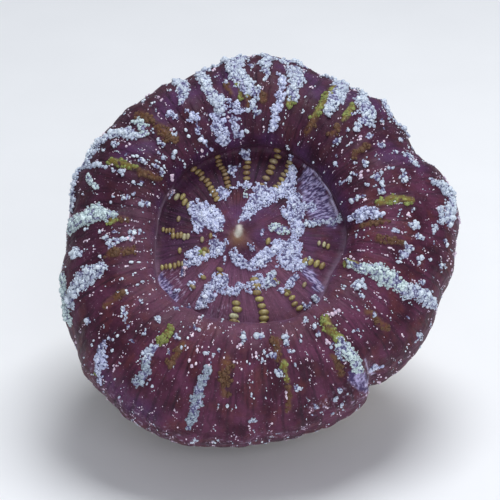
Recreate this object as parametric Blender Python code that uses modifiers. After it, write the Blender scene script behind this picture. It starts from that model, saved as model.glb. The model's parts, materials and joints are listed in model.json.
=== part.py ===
"""An acan coral: one large fleshy polyp on its own stony stalk, cut off flat where it grew.

The body is turned from one profile with a Screw modifier: from the mouth, over the oral disc and the
fleshy ring, round the folded edge and down the stalk. Its uneven outline, ribs, bead rows and crust are
then worked into it, and the stalk is bent so that the face leans back while the cut stays level.
"""

import math

import bmesh
import bpy
from mathutils import Vector, noise

MM = 0.001

# Driving dimensions
DISC_RADIUS = 16.5 * MM
RING_RADIUS = 35.0 * MM
FACE_TILT = math.radians(42.0)
BEND_START = -21.0 * MM
BEND_LENGTH = 22.0 * MM
FACE_CENTRE = Vector((-1.55, -9.66, 39.0)) * MM
MOUTH_OFFSET = (-2.6 * MM, -0.5 * MM)
MOUTH_SQUEEZE = 0.35
MOUTH_REACH = 3.0 * MM

RIBS = 66
TURN_STEPS = 2 * RIBS
SPLINE_STEPS = 24

# The profile in millimetres, radius and height over the oral disc, from the mouth outwards.
MOUTH = [(0.0, 1.2), (1.0, 1.9), (2.4, 1.5), (4.5, 0.7)]
ORAL_DISC = [(7.5, 0.35), (10.5, 0.1), (13.5, -0.4), (15.6, -0.9)]
INNER_FOLD = [(16.6, -0.5), (16.7, 1.2), (17.2, 3.0), (18.6, 4.6)]
RING_TOP = [(21.0, 5.7), (24.0, 5.9), (27.0, 5.1), (30.0, 3.3), (32.8, 0.4)]
FLANK = [(34.6, -3.4), (35.0, -8.0), (34.4, -12.5), (32.8, -16.8), (30.4, -20.0)]
FLESH_EDGE = [(27.8, -21.6), (26.2, -21.2), (25.4, -20.2), (24.6, -21.4)]
STALK = [(24.2, -25.0), (23.2, -31.0), (22.6, -37.0), (23.4, -43.0)]
PROFILE = MOUTH + ORAL_DISC + INNER_FOLD + RING_TOP + FLANK + FLESH_EDGE + STALK

# Rings of points along the profile: how far each stretch reaches from the mouth, and its rings.
STRETCHES = [
    (17.3 * MM, 12),
    (61.4 * MM, 17),
    (69.1 * MM, 4),
    (None, 4),
]

# Radii every 15 degrees, counterclockwise from +X as the face is looked at, in millimetres.
RING_OUTLINE = [
    36.4, 37.0, 34.4, 35.2, 34.4, 35.3, 36.1, 34.3, 33.8, 34.0, 33.6, 33.1,
    32.8, 34.1, 35.4, 36.8, 36.9, 36.1, 35.0, 34.2, 34.1, 33.4, 34.6, 35.2,
]
DISC_OUTLINE = [
    16.4, 15.9, 16.0, 16.3, 16.8, 17.1, 16.9, 16.6, 16.6, 16.6, 16.6, 16.4,
    16.5, 17.3, 18.4, 18.0, 17.0, 16.5, 16.3, 16.7, 17.0, 16.8, 15.5, 16.0,
]

# Crust streaks: half width, then angle in degrees and reach from the mouth in millimetres along each.
RING_CRUST = [
    (1.5, [(94, 40), (91, 29)]),
    (1.2, [(107, 40), (106, 26), (108, 21)]),
    (1.2, [(99, 28), (99, 21)]),
    (0.9, [(114, 38), (118, 28)]),
    (1.3, [(142, 33), (150, 40), (156, 42)]),
    (1.6, [(175, 41), (176, 30)]),
    (1.5, [(197, 33), (197, 39), (202, 44)]),
    (1.3, [(220, 37), (221, 43)]),
    (1.1, [(234, 30), (235, 37)]),
    (1.0, [(253, 30), (253, 41)]),
    (1.2, [(86, 40), (85, 34)]),
    (1.1, [(75, 41), (74, 30), (80, 22)]),
    (1.1, [(61, 40), (58, 30)]),
    (1.6, [(52, 41), (44, 32)]),
    (1.2, [(16, 41), (12, 44), (6, 41)]),
    (0.9, [(7, 21), (5, 27)]),
    (1.5, [(338, 22), (337, 33), (337, 38)]),
    (1.3, [(306, 30), (304, 37)]),
]
DISC_CRUST = [
    (2.2, [(149, 9), (150, 4)]),
    (1.4, [(205, 5), (212, 5)]),
    (1.4, [(84, 3), (62, 8), (51, 12)]),
    (1.7, [(40, 11), (17, 10), (0, 10)]),
    (1.7, [(0, 10), (-22, 10), (-34, 11)]),
    (1.0, [(10, 11), (14, 16)]),
    (1.2, [(266, 10), (246, 11), (239, 14)]),
    (1.0, [(264, 6), (296, 6), (344, 7)]),
]

# Bead rows on the oral disc: angle in degrees, then the row's first and last reach in millimetres.
BEAD_ROWS = [
    (124, 9, 16), (110, 10, 16), (92, 11, 14), (74, 11, 16), (62, 11, 16), (149, 12, 15),
    (179, 11, 14), (202, 11, 15), (260, 12, 15), (277, 9, 16), (303, 9, 15), (339, 12, 15),
]

RIB_HEIGHT = 0.26 * MM
STALK_RIB_HEIGHT = 0.42 * MM
RIB_UNEVENNESS = 1.1
RIB_PATCH = 6.0 * MM
BEAD_HEIGHT = 0.45 * MM
CRUST_HEIGHT = 0.6 * MM
CRUST_LUMP = 0.35 * MM
CRUST_MARGIN = 0.8 * MM
LUMP_SIZE = 2.2 * MM
CREASE_ANGLE = math.radians(309.0)
CREASE_DEPTH = 1.6 * MM
CREASE_HALF_ANGLE = math.radians(3.6)


def clamp(value):
    """The value kept between 0 and 1."""
    return min(1.0, max(0.0, value))


def smooth(start, end, value):
    """A smooth step from 0 at start to 1 at end."""
    share = clamp((value - start) / (end - start))
    return share * share * (3.0 - 2.0 * share)


def through(before, first, second, after, share):
    """A point of the smooth curve that runs through first and second."""
    return 0.5 * (
        2.0 * first
        + (second - before) * share
        + (2.0 * before - 5.0 * first + 4.0 * second - after) * share**2
        + (3.0 * first - before - 3.0 * second + after) * share**3
    )


def around(radii, angle):
    """The outline's radius at an angle, from its evenly spaced radii."""
    place = (angle / math.tau) % 1.0 * len(radii)
    i = int(place)
    near = [radii[(i + k) % len(radii)] for k in (-1, 0, 1, 2)]
    return through(*near, place - i) * MM


def fine_profile():
    """Close points of the smooth profile, and how far each lies from the mouth along it."""
    knots = [Vector(knot) * MM for knot in PROFILE]
    knots = [knots[0], *knots, knots[-1]]
    points = []
    for i in range(1, len(knots) - 2):
        for step in range(SPLINE_STEPS):
            points.append(through(*knots[i - 1 : i + 3], step / SPLINE_STEPS))
    points.append(knots[-1])
    points[0].x = 0.0
    reaches = [0.0]
    for before, after in zip(points, points[1:]):
        reaches.append(reaches[-1] + (after - before).length)
    return points, reaches


def profile_rings():
    """The profile's points in the rings that the body is turned with, each as (radius, height, reach)."""
    points, reaches = fine_profile()
    rings = [(points[0].x, points[0].y, 0.0)]
    start = 0.0
    for end, count in STRETCHES:
        end = end or reaches[-1]
        for step in range(1, count + 1):
            reach = start + (end - start) * step / count
            i = min(range(len(reaches)), key=lambda n: abs(reaches[n] - reach))
            rings.append((points[i].x, points[i].y, reaches[i]))
        start = end
    return rings


def turned_body(rings):
    """The plain round body: the profile, closed at the cut, turned about the face's axis."""
    mesh = bpy.data.meshes.new("profile")
    points = [(radius, 0.0, height) for radius, height, _ in rings]
    points.append((0.0, 0.0, points[-1][2]))
    mesh.from_pydata(points, [(i, i + 1) for i in range(len(points) - 1)], [])
    profile = bpy.data.objects.new("profile", mesh)
    bpy.context.scene.collection.objects.link(profile)
    screw = profile.modifiers.new("turn", "SCREW")
    screw.steps = screw.render_steps = TURN_STEPS
    screw.use_merge_vertices = True
    screw.merge_threshold = 0.00005
    bpy.context.view_layer.update()
    graph = bpy.context.evaluated_depsgraph_get()
    turned = bpy.data.meshes.new_from_object(profile.evaluated_get(graph))
    bpy.data.objects.remove(profile)
    return turned


def streak_share(streaks, angle, reach, radius):
    """How far a point lies inside the crust streaks: 1 along their middles, 0 outside."""
    best = 0.0
    for half_width, stops in streaks:
        for (angle_a, reach_a), (angle_b, reach_b) in zip(stops, stops[1:]):
            across = math.remainder(angle - math.radians(angle_a), math.tau) * radius
            away = Vector((across, reach - reach_a * MM))
            run = Vector((math.radians(angle_b - angle_a) * radius, (reach_b - reach_a) * MM))
            share = clamp(away.dot(run) / max(run.length_squared, 1e-12))
            distance = (away - run * share).length
            edge = half_width * MM + CRUST_MARGIN
            best = max(best, 1.0 - smooth(0.3 * edge, 1.1 * edge, distance))
    return best


def crust_relief(angle, reach, radius, place):
    """The raised, lumpy crust."""
    streaks = DISC_CRUST if reach < DISC_RADIUS else RING_CRUST
    share = streak_share(streaks, angle, reach, radius)
    lump = noise.noise(place / LUMP_SIZE)
    return share * (CRUST_HEIGHT + CRUST_LUMP * lump)


def rib_relief(angle, reach, place):
    """The ribs over the septa: strongest on the ring's outer half, and again down the stalk."""
    on_ring = smooth(21 * MM, 32 * MM, reach) * (1.0 - smooth(58 * MM, 64 * MM, reach))
    on_stalk = smooth(68 * MM, 71 * MM, reach)
    height = RIB_HEIGHT * on_ring + STALK_RIB_HEIGHT * on_stalk
    unevenness = 1.0 + RIB_UNEVENNESS * noise.noise(place / RIB_PATCH)
    return height * unevenness * math.cos(RIBS * angle)


def lobe_relief(angle, reach):
    """The ring's broad swells between its main septa."""
    on_ring = smooth(19 * MM, 28 * MM, reach) * (1.0 - smooth(52 * MM, 64 * MM, reach))
    swell = 0.55 * math.cos(7 * angle + 0.6) + 0.4 * math.cos(11 * angle + 2.1)
    return on_ring * swell * MM


def crease_relief(angle, reach):
    """The fold where the ring is pinched in at its lower right."""
    off = math.remainder(angle - CREASE_ANGLE, math.tau) / CREASE_HALF_ANGLE
    along = smooth(31 * MM, 43 * MM, reach) * (1.0 - smooth(56 * MM, 66 * MM, reach))
    return -CREASE_DEPTH * along * math.exp(-off * off)


def bead_relief(angle, reach, radius, ring):
    """The rows of beads on the oral disc, a bead on every second ring of points."""
    height = 0.0
    for row_angle, first, last in BEAD_ROWS:
        off = abs(math.remainder(angle - math.radians(row_angle), math.tau)) * radius
        if first * MM <= reach <= last * MM and off < 0.7 * MM:
            height = BEAD_HEIGHT * (1.0 if ring % 2 else 0.35)
    return height


def outlined(radius, height, angle, reach):
    """The turned point moved to the uneven outlines of the disc and the ring, in face coordinates."""
    disc = around(DISC_OUTLINE, angle)
    ring = around(RING_OUTLINE, angle)
    if height > -8.0 * MM:
        inside = clamp(radius / DISC_RADIUS)
        outside = clamp((radius - DISC_RADIUS) / (RING_RADIUS - DISC_RADIUS))
        radius = disc * inside + (ring - disc) * outside
    else:
        inside = 1.0
        roundness = clamp((-8.0 * MM - height) / (26.0 * MM))
        radius *= roundness + (1.0 - roundness) * ring / RING_RADIUS
    x = radius * math.cos(angle)
    y = radius * math.sin(angle)
    x *= 1.0 - MOUTH_SQUEEZE * (1.0 - smooth(0.0, MOUTH_REACH, reach))
    x += MOUTH_OFFSET[0] * (1.0 - inside)
    y += MOUTH_OFFSET[1] * (1.0 - inside)
    return Vector((x, y, height))


def placed(point):
    """A point in face coordinates moved into the part's own frame: stalk bent, face leaning back."""
    bend_radius = BEND_LENGTH / FACE_TILT
    past = max(0.0, BEND_START - point.z)
    turn = min(past / bend_radius, FACE_TILT)
    straight = max(0.0, past - BEND_LENGTH)
    out = point.y + bend_radius
    y = out * math.cos(turn) - bend_radius - straight * math.sin(turn)
    z = max(point.z, BEND_START) - out * math.sin(turn) - straight * math.cos(turn)
    lean_sin, lean_cos = math.sin(FACE_TILT), math.cos(FACE_TILT)
    return FACE_CENTRE + Vector((point.x, y * lean_cos - z * lean_sin, y * lean_sin + z * lean_cos))


def shape_body(mesh, rings):
    """Works the outline and the relief into the turned mesh, then stands it on its cut."""
    body = bmesh.new()
    body.from_mesh(mesh)
    facts = {}
    for vert in body.verts:
        radius = math.hypot(vert.co.x, vert.co.y)
        angle = math.atan2(vert.co.y, vert.co.x)
        ring = min(
            range(len(rings)),
            key=lambda n: math.hypot(rings[n][0] - radius, rings[n][1] - vert.co.z),
        )
        if radius < 0.1 * MM and ring:
            ring = len(rings)
        facts[vert] = (radius, angle, ring)
        reach = rings[min(ring, len(rings) - 1)][2]
        vert.co = outlined(radius, vert.co.z, angle, reach)
    bmesh.ops.recalc_face_normals(body, faces=body.faces)
    body.normal_update()
    relief = {}
    for vert, (radius, angle, ring) in facts.items():
        if 0 < ring < len(rings) - 1:
            reach = rings[ring][2]
            relief[vert] = (
                lobe_relief(angle, reach)
                + rib_relief(angle, reach, vert.co)
                + crease_relief(angle, reach)
                + bead_relief(angle, reach, radius, ring)
                + crust_relief(angle, reach, radius, vert.co)
            )
    for vert, height in relief.items():
        vert.co += vert.normal * height
    for vert in body.verts:
        vert.co = placed(vert.co)
        if facts[vert][2] >= len(rings) - 1:
            vert.co.z = 0.0
    body.to_mesh(mesh)
    body.free()


def coral_flesh():
    """The deep maroon of the living flesh."""
    material = bpy.data.materials.new("coral_flesh")
    material.use_nodes = True
    shader = material.node_tree.nodes["Principled BSDF"]
    shader.inputs["Base Color"].default_value = (0.13, 0.05, 0.075, 1.0)
    shader.inputs["Roughness"].default_value = 0.5
    shader.inputs["Metallic"].default_value = 0.0
    return material


def build():
    """Clears the scene and makes the coral."""
    for old in list(bpy.data.objects):
        bpy.data.objects.remove(old)
    collection = bpy.data.collections.new("acan_coral")
    bpy.context.scene.collection.children.link(collection)
    rings = profile_rings()
    mesh = turned_body(rings)
    shape_body(mesh, rings)
    mesh.name = "acan_polyp"
    mesh.materials.clear()
    mesh.materials.append(coral_flesh())
    mesh.shade_smooth()
    mesh.set_sharp_from_angle(angle=math.radians(75.0))
    polyp = bpy.data.objects.new("acan_polyp", mesh)
    collection.objects.link(polyp)
    low = [min(v.co[i] for v in mesh.vertices) / MM for i in range(3)]
    high = [max(v.co[i] for v in mesh.vertices) / MM for i in range(3)]
    print("box in mm:", [round(v, 2) for v in low], [round(v, 2) for v in high])


build()
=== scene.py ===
"""An acan coral: one large fleshy polyp leaning back on its own stony stalk.

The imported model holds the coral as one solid. This script dresses it with a fine skin that has ribs,
wrinkles and colour, with the pale crust and the loose grains that grow on it, with the rows of olive beads
on its oral disc, and with the stony stalk.

A place on the skin is an angle, counterclockwise from the right as the face is looked at, and a reach, the
distance from the mouth along the skin in mm. Angles are in radians, apart from those in the tables of
growths, which are in degrees. Face coordinates are right, up along the face and out of it, in mm.
"""

import json
import logging
import math
from dataclasses import dataclass, field
from enum import Enum

import bmesh
import bpy
import numpy as np
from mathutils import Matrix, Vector, noise

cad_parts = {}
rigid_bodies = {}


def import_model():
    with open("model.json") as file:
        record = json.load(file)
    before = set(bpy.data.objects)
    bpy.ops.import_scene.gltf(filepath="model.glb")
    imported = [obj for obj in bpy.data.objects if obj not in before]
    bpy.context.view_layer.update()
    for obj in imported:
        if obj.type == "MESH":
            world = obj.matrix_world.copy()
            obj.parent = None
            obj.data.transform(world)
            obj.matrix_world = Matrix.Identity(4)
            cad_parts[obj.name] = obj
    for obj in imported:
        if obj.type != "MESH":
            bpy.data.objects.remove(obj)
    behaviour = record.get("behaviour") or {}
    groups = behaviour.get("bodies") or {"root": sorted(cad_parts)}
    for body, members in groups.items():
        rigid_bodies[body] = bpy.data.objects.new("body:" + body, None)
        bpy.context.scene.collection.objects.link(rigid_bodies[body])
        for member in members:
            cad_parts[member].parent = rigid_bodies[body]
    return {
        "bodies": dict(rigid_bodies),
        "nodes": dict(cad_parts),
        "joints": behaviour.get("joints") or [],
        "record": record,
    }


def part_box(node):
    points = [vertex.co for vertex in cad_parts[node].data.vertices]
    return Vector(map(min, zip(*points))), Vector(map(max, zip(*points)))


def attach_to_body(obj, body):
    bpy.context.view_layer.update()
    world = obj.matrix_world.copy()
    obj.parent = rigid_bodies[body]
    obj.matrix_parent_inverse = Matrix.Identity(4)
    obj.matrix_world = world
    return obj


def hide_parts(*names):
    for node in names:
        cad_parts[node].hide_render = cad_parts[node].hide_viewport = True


LOG = logging.getLogger("acan_coral")
MM = 0.001
NODE = "acan_polyp"
TURN = 2.0 * math.pi
SEED = 8
# From the middle of the solid's base to the middle of the oral disc, in mm.
DISC_FROM_BASE = (-1.55, -9.66, 39.0)

Triple = tuple[float, float, float]
Stop = Triple
Place = Triple
Colour = Triple
Span = tuple[float, float]
Band = tuple[float, float, float, float]
Socket = bpy.types.NodeSocket


class Tone(Enum):
    """The tints of the growths that stand on the flesh, each as a lit and a shaded colour, painted light and
    shade that lumps mix by chance and, in a crust, by height.
    """

    LAVENDER = ((0.82, 0.88, 1.00), (0.36, 0.38, 0.66))
    CHALK = ((0.82, 0.91, 0.97), (0.30, 0.34, 0.48))
    MINT = ((0.80, 0.95, 0.93), (0.32, 0.40, 0.42))
    TEAL = ((0.46, 0.55, 0.62), (0.20, 0.22, 0.29))
    ROSE = ((1.00, 0.84, 0.94), (0.46, 0.32, 0.46))
    OLIVE = ((0.330, 0.410, 0.120), (0.140, 0.130, 0.035))
    OCHRE = ((0.178, 0.098, 0.046), (0.092, 0.040, 0.022))

    def tint(self, light: float) -> Colour:
        """A colour between the shaded one and the light one.

        Args:
            light: 0 for the shaded one and 1 for the light one.

        Returns:
            The colour.
        """
        bright, shaded = (np.array(colour) for colour in self.value)
        return tuple(shaded + (bright - shaded) * min(1.0, max(0.0, light)))


class Growth(Enum):
    """The growths that only colour the flesh."""

    VEIL = "a dark film with pale threads"
    FAINT_VEIL = "a thin film that the flesh shows through"
    LINE = "a fine pale line"
    STAIN = "a violet stain with blurred edges"


@dataclass(frozen=True)
class Streak:
    """A run of growth on the skin.

    Args:
        kind: the tint of a crust or the kind of a coloured growth.
        stops: the places that it runs through, each an angle in degrees, a reach and a width in mm.
    """

    kind: Enum
    stops: tuple[Stop, ...]


@dataclass(frozen=True)
class BeadRow:
    """A row of beads on the oral disc.

    Args:
        first: the angle in degrees and the reach in mm of its first bead.
        last: those of its last bead.
        half: half the width of a bead, in mm.
        lightest: how light its beads are at most, lower in the upper rows as painted shade under the ring's
            upper edge.
    """

    first: Span
    last: Span
    half: float
    lightest: float


def streaks(*rows: tuple[Enum | Stop, ...]) -> tuple[Streak, ...]:
    """Streaks from rows that each give a kind and then the stops."""
    return tuple(Streak(kind, tuple(stops)) for kind, *stops in rows)


def clumps(kind: Enum, *places: Stop) -> tuple[Streak, ...]:
    """Round clumps of one kind, each at its only stop."""
    return tuple(Streak(kind, (place,)) for place in places)


UPPER_RIGHT_CRUST = streaks(
    (Tone.CHALK, (94, 39.5, 3.2), (96, 34.5, 2.6), (94, 32.1, 2.3), (92, 29.2, 2.5)),
    (Tone.CHALK, (88, 29.4, 0.9), (88, 27.6, 0.9)),
    (Tone.CHALK, (90, 26.6, 1.3), (88, 25.4, 1.6)),
    (Tone.CHALK, (86, 40.0, 1.6), (86, 35.0, 2.1), (84, 32.9, 1.2)),
    (Tone.CHALK, (84, 39.5, 1.4), (80, 39.0, 1.0)),
    (Tone.CHALK, (78, 40.0, 2.2), (75, 40.2, 1.6)),
    (Tone.CHALK, (76, 36.2, 3.0), (74, 33.3, 2.5), (74, 29.4, 2.1)),
    (Tone.LAVENDER, (80, 33.5, 0.8), (79, 30.0, 0.9), (79, 27.0, 1.5), (78, 24.5, 1.4), (80, 22.4, 0.8)),
    (Tone.CHALK, (62, 40.6, 2.2), (60, 36.9, 2.5), (59, 34.7, 2.5), (58, 31.1, 2.0), (58, 29.2, 1.2)),
    (Tone.CHALK, (68, 40.8, 1.2), (64, 41.2, 1.1)),
    (Tone.CHALK, (59, 41.0, 1.1), (55, 42.0, 1.0)),
    (Tone.CHALK, (54, 40.5, 1.3), (52, 37.0, 2.0), (48, 35.0, 3.2), (44, 33.2, 2.2)),
    (Tone.CHALK, (45, 33.0, 2.0), (46, 31.4, 1.4), (45, 29.9, 0.9)),
    (Tone.CHALK, (48, 42.0, 1.3), (46, 41.0, 1.4), (42, 40.0, 0.9), (38, 41.5, 0.9)),
    (Tone.CHALK, (16, 37.2, 1.4), (15, 39.8, 2.0), (13, 42.0, 3.0), (8, 40.0, 2.6), (5, 39.6, 2.2)),
    (Tone.CHALK, (7, 37.6, 1.2), (3, 38.0, 1.2)),
    (Tone.LAVENDER, (6, 22.1, 1.2), (5, 23.6, 1.6), (6, 25.2, 1.9), (4, 26.4, 1.5)),
    (Tone.CHALK, (28, 22.4, 0.5), (28, 25.7, 0.5)),
    (Tone.CHALK, (22, 23.2, 0.5), (20, 25.9, 0.5)),
    (Tone.CHALK, (15, 22.8, 0.5), (15, 25.4, 0.5)),
)

UPPER_LEFT_CRUST = streaks(
    (Tone.CHALK, (106, 40.0, 2.2), (107, 35.5, 1.7), (107, 32.0, 1.9), (105, 30.0, 2.2), (105, 27.0, 1.6)),
    (Tone.LAVENDER, (108, 26.0, 1.8), (108, 24.5, 2.2), (107, 22.8, 2.0), (106, 20.9, 1.4)),
    (Tone.LAVENDER, (101, 27.6, 1.2), (98, 26.7, 1.8), (96, 26.0, 1.4)),
    (Tone.LAVENDER, (100, 25.1, 1.0), (99, 23.7, 1.2), (98, 21.8, 1.4)),
    (Tone.CHALK, (104, 41.6, 1.2), (100, 41.2, 1.2), (97, 39.5, 1.5)),
    (Tone.CHALK, (114, 41.0, 1.6), (114, 38.0, 2.2), (115, 34.5, 1.9), (117, 31.4, 1.5)),
    (Tone.LAVENDER, (125, 30.4, 1.2), (124, 29.2, 1.2)),
    (Tone.LAVENDER, (118, 28.9, 0.9), (117, 27.2, 1.4), (116, 26.4, 1.2)),
    (Tone.LAVENDER, (118, 26.0, 0.4), (118, 23.6, 0.6), (116, 21.5, 0.6), (114, 19.5, 0.4)),
    (Tone.MINT, (135, 34.4, 1.2), (136, 32.4, 1.4), (138, 30.8, 1.2)),
    (Tone.CHALK, (140, 31.2, 1.4), (142, 35.0, 2.0), (145, 38.2, 2.2), (149, 40.6, 2.9), (154, 41.2, 3.2)),
    (Tone.CHALK, (146, 33.9, 0.8), (148, 35.0, 1.0), (149, 34.0, 0.7)),
    (Tone.CHALK, (156, 39.2, 0.8), (156, 36.0, 0.8), (157, 33.9, 0.6)),
    (Tone.MINT, (161, 37.0, 1.5), (162, 35.4, 1.4), (164, 34.5, 1.0)),
    (Tone.CHALK, (156, 42.2, 2.2), (162, 42.4, 1.9), (168, 43.0, 2.4)),
    (Tone.MINT, (175, 29.4, 0.8), (175, 31.0, 1.6), (174, 33.5, 2.6), (175, 36.5, 3.2), (176, 40.5, 2.6)),
)

LOWER_CRUST = streaks(
    (Tone.CHALK, (187, 38.6, 1.6), (189, 36.0, 1.5)),
    (Tone.CHALK, (197, 31.6, 1.9), (197, 34.0, 3.2), (198, 37.4, 3.4), (200, 41.0, 3.0)),
    (Tone.MINT, (192, 42.6, 2.0), (198, 43.4, 2.6), (205, 43.6, 2.4)),
    (Tone.CHALK, (188, 30.0, 0.9), (188, 26.9, 0.8)),
    (Tone.CHALK, (191, 29.8, 0.8), (190, 28.6, 0.7)),
    (Tone.LAVENDER, (220, 36.4, 1.5), (222, 38.6, 2.0), (222, 41.0, 1.5), (224, 43.6, 1.2)),
    (Tone.CHALK, (233, 30.4, 1.2), (233, 32.3, 1.7)),
    (Tone.TEAL, (234, 33.0, 1.7), (235, 35.0, 1.6), (235, 37.4, 1.3)),
    (Tone.CHALK, (254, 30.4, 0.9)),
    (Tone.TEAL, (254, 31.0, 1.0), (253, 33.0, 1.7), (253, 36.0, 1.8), (253, 39.0, 1.4), (252, 41.6, 0.9)),
    (Tone.CHALK, (252, 28.8, 0.7), (256, 28.1, 0.8)),
    (Tone.MINT, (338, 23.4, 1.0), (337, 26.0, 1.8), (338, 28.0, 2.0), (337, 31.0, 2.8), (337, 33.4, 2.5)),
    (Tone.CHALK, (337, 33.4, 2.4), (338, 37.0, 2.4), (339, 40.0, 2.2), (340, 43.0, 1.6)),
    (Tone.MINT, (306, 30.9, 1.3), (305, 32.4, 2.1), (306, 34.4, 2.1), (306, 37.4, 1.7)),
    (Tone.CHALK, (302, 32.4, 0.9), (302, 34.0, 0.7)),
    (Tone.LAVENDER, (312, 42.4, 1.5), (314, 43.4, 1.4)),
    (Tone.ROSE, (306, 25.5, 0.4), (308, 26.2, 0.6), (313, 27.0, 0.4)),
)

RING_CLUMPS = clumps(
    Tone.CHALK,
    (100, 32.1, 1.0), (90, 35.1, 1.0), (93, 25.8, 0.8), (168, 34.7, 0.5), (168, 33.5, 0.5),
    (170, 30.6, 0.6), (168, 28.4, 0.8), (168, 27.3, 1.0), (170, 26.4, 0.6), (168, 24.5, 0.8),
    (168, 23.3, 0.8), (158, 31.8, 0.8), (158, 29.9, 0.9), (149, 30.9, 0.8), (158, 27.0, 0.7),
    (158, 25.7, 0.6), (158, 23.8, 0.6), (164, 26.3, 0.8), (142, 26.1, 0.8), (142, 24.8, 0.6),
    (149, 27.5, 0.9), (148, 25.2, 1.1), (148, 23.7, 1.0), (136, 26.7, 1.1), (135, 23.9, 1.1),
    (134, 22.3, 0.6), (176, 23.4, 0.6), (184, 28.8, 0.8), (186, 30.3, 0.8), (180, 35.9, 0.6),
    (183, 32.0, 0.6), (185, 26.3, 0.9), (184, 24.5, 0.7), (183, 23.1, 0.6), (204, 28.5, 1.0),
    (216, 30.3, 1.5), (220, 30.8, 1.2), (210, 37.5, 1.0), (220, 34.5, 0.8), (226, 34.8, 0.8),
    (226, 32.4, 0.7), (244, 25.4, 1.0), (240, 25.4, 0.8), (238, 27.3, 0.8), (239, 30.3, 0.8),
    (266, 24.9, 1.0), (266, 26.3, 0.9), (272, 24.9, 1.0), (227, 26.6, 1.0), (217, 26.9, 0.8),
    (226, 29.6, 0.7), (229, 22.1, 0.9), (227, 39.8, 0.7), (232, 42.3, 0.6), (270, 40.0, 1.2),
    (262, 37.1, 0.9), (264, 33.8, 0.6), (46, 28.8, 0.8), (49, 31.8, 0.8), (47, 26.1, 1.2), (39, 31.8, 1.2),
    (39, 35.3, 0.6), (42, 36.2, 0.8), (34, 32.3, 1.2), (34, 34.1, 0.8), (29, 27.8, 1.1), (32, 26.6, 0.9),
    (32, 28.8, 0.7), (29, 30.3, 0.6), (42, 24.2, 0.8), (38, 23.4, 0.7), (23, 30.9, 1.3), (30, 34.8, 0.7),
    (22, 28.2, 1.6), (19, 32.0, 1.5), (27, 36.9, 1.4), (24, 36.2, 1.6), (34, 38.1, 1.0), (37, 43.0, 1.2),
    (40, 28.4, 0.5), (17, 28.1, 0.8), (15, 27.6, 0.9), (17, 31.1, 0.8), (0, 32.1, 1.3), (1, 36.6, 1.5),
    (356, 29.3, 1.2), (5, 30.0, 0.8), (6, 32.4, 0.8), (356, 33.6, 1.3), (356, 36.8, 0.8), (358, 39.6, 1.3),
    (348, 31.8, 1.7), (351, 32.0, 1.2), (350, 36.8, 1.0), (348, 34.8, 0.8), (354, 23.1, 0.8),
    (350, 39.8, 1.2), (329, 26.9, 1.8), (326, 28.4, 1.0), (342, 37.2, 1.2), (300, 26.1, 1.0),
    (297, 24.0, 1.0), (300, 27.8, 0.8), (302, 30.8, 0.7), (274, 25.2, 1.4), (285, 26.0, 1.2),
    (286, 27.3, 1.1), (285, 29.3, 0.9), (278, 28.7, 1.1), (280, 32.4, 1.6), (312, 32.1, 0.8),
    (321, 32.0, 0.9), (322, 33.6, 0.8), (330, 37.4, 0.6), (329, 43.0, 1.3), (270, 39.9, 1.2),
    (297, 42.6, 1.0), (285, 35.7, 1.0), (290, 40.8, 0.9), (294, 44.3, 1.0), (298, 39.2, 0.6),
    (295, 40.2, 0.7), (292, 42.2, 0.6), (288, 43.0, 0.6), (297, 44.6, 0.6), (300, 41.0, 0.6),
)

DISC_CRUST = streaks(
    (Tone.LAVENDER, (148, 11.6, 1.5), (148, 10.2, 2.4), (150, 7.9, 4.0), (149, 5.9, 3.4)),
    (Tone.LAVENDER, (168, 8.7, 1.9), (175, 8.8, 1.1)),
    (Tone.LAVENDER, (206, 4.4, 3.0), (210, 6.5, 1.5), (210, 9.0, 1.5), (206, 11.1, 0.9)),
    (Tone.ROSE, (206, 11.1, 0.8), (211, 12.2, 0.7)),
    (Tone.LAVENDER, (253, 4.1, 1.7), (271, 5.3, 1.7), (290, 5.7, 1.7), (316, 6.0, 2.0)),
    (Tone.LAVENDER, (316, 6.0, 2.0), (342, 7.1, 1.7), (351, 8.7, 1.8)),
    (Tone.LAVENDER, (82, 3.4, 1.5), (74, 5.4, 2.2), (68, 8.0, 3.3), (58, 9.9, 2.6), (55, 11.9, 2.5)),
    (Tone.LAVENDER, (60, 15.6, 1.0), (58, 14.0, 1.3), (50, 12.2, 2.4), (36, 11.0, 2.4), (18, 10.2, 2.2)),
    (Tone.LAVENDER, (18, 10.1, 2.2), (6, 9.5, 2.3), (347, 9.3, 2.7), (332, 10.1, 2.6), (327, 11.6, 1.4)),
    (Tone.LAVENDER, (30, 12.0, 1.5), (29, 13.6, 1.1)),
    (Tone.MINT, (160, 4.2, 1.1), (150, 4.6, 1.2)),
    (Tone.MINT, (92, 9.2, 1.0), (88, 8.4, 0.8)),
    (Tone.MINT, (336, 12.4, 1.0), (332, 12.0, 1.2)),
    (Tone.CHALK, (10, 11.0, 1.2), (12, 13.2, 1.2), (13, 16.8, 1.0)),
    (Tone.MINT, (16, 6.3, 1.5), (12, 7.4, 1.7)),
    (Tone.CHALK, (292, 9.8, 1.2), (298, 9.4, 2.0), (306, 9.0, 1.6)),
    (Tone.LAVENDER, (300, 11.6, 1.0), (308, 11.6, 1.4), (318, 11.4, 1.4)),
    (Tone.LAVENDER, (238, 10.2, 1.6), (237, 11.7, 2.1), (237, 13.4, 2.0), (237, 15.2, 1.2)),
    (Tone.LAVENDER, (271, 10.4, 0.8), (264, 9.8, 1.3), (256, 10.8, 1.2), (247, 11.3, 1.1), (240, 11.8, 1.2)),
    (Tone.LAVENDER, (94, 16.6, 1.3), (94, 15.4, 1.1)),
    (Tone.LAVENDER, (98, 14.4, 0.8), (102, 13.2, 1.3), (102, 12.2, 0.8)),
    (Tone.LAVENDER, (104, 10.1, 0.8), (96, 10.2, 1.0), (88, 9.8, 0.8)),
    (Tone.ROSE, (147, 16.6, 1.1), (152, 16.8, 0.9)),
    (Tone.CHALK, (131, 10.2, 0.3), (120, 10.6, 0.4), (112, 10.4, 0.3)),
    (Tone.CHALK, (315, 16.2, 1.0), (314, 17.0, 0.8)),
)

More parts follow.
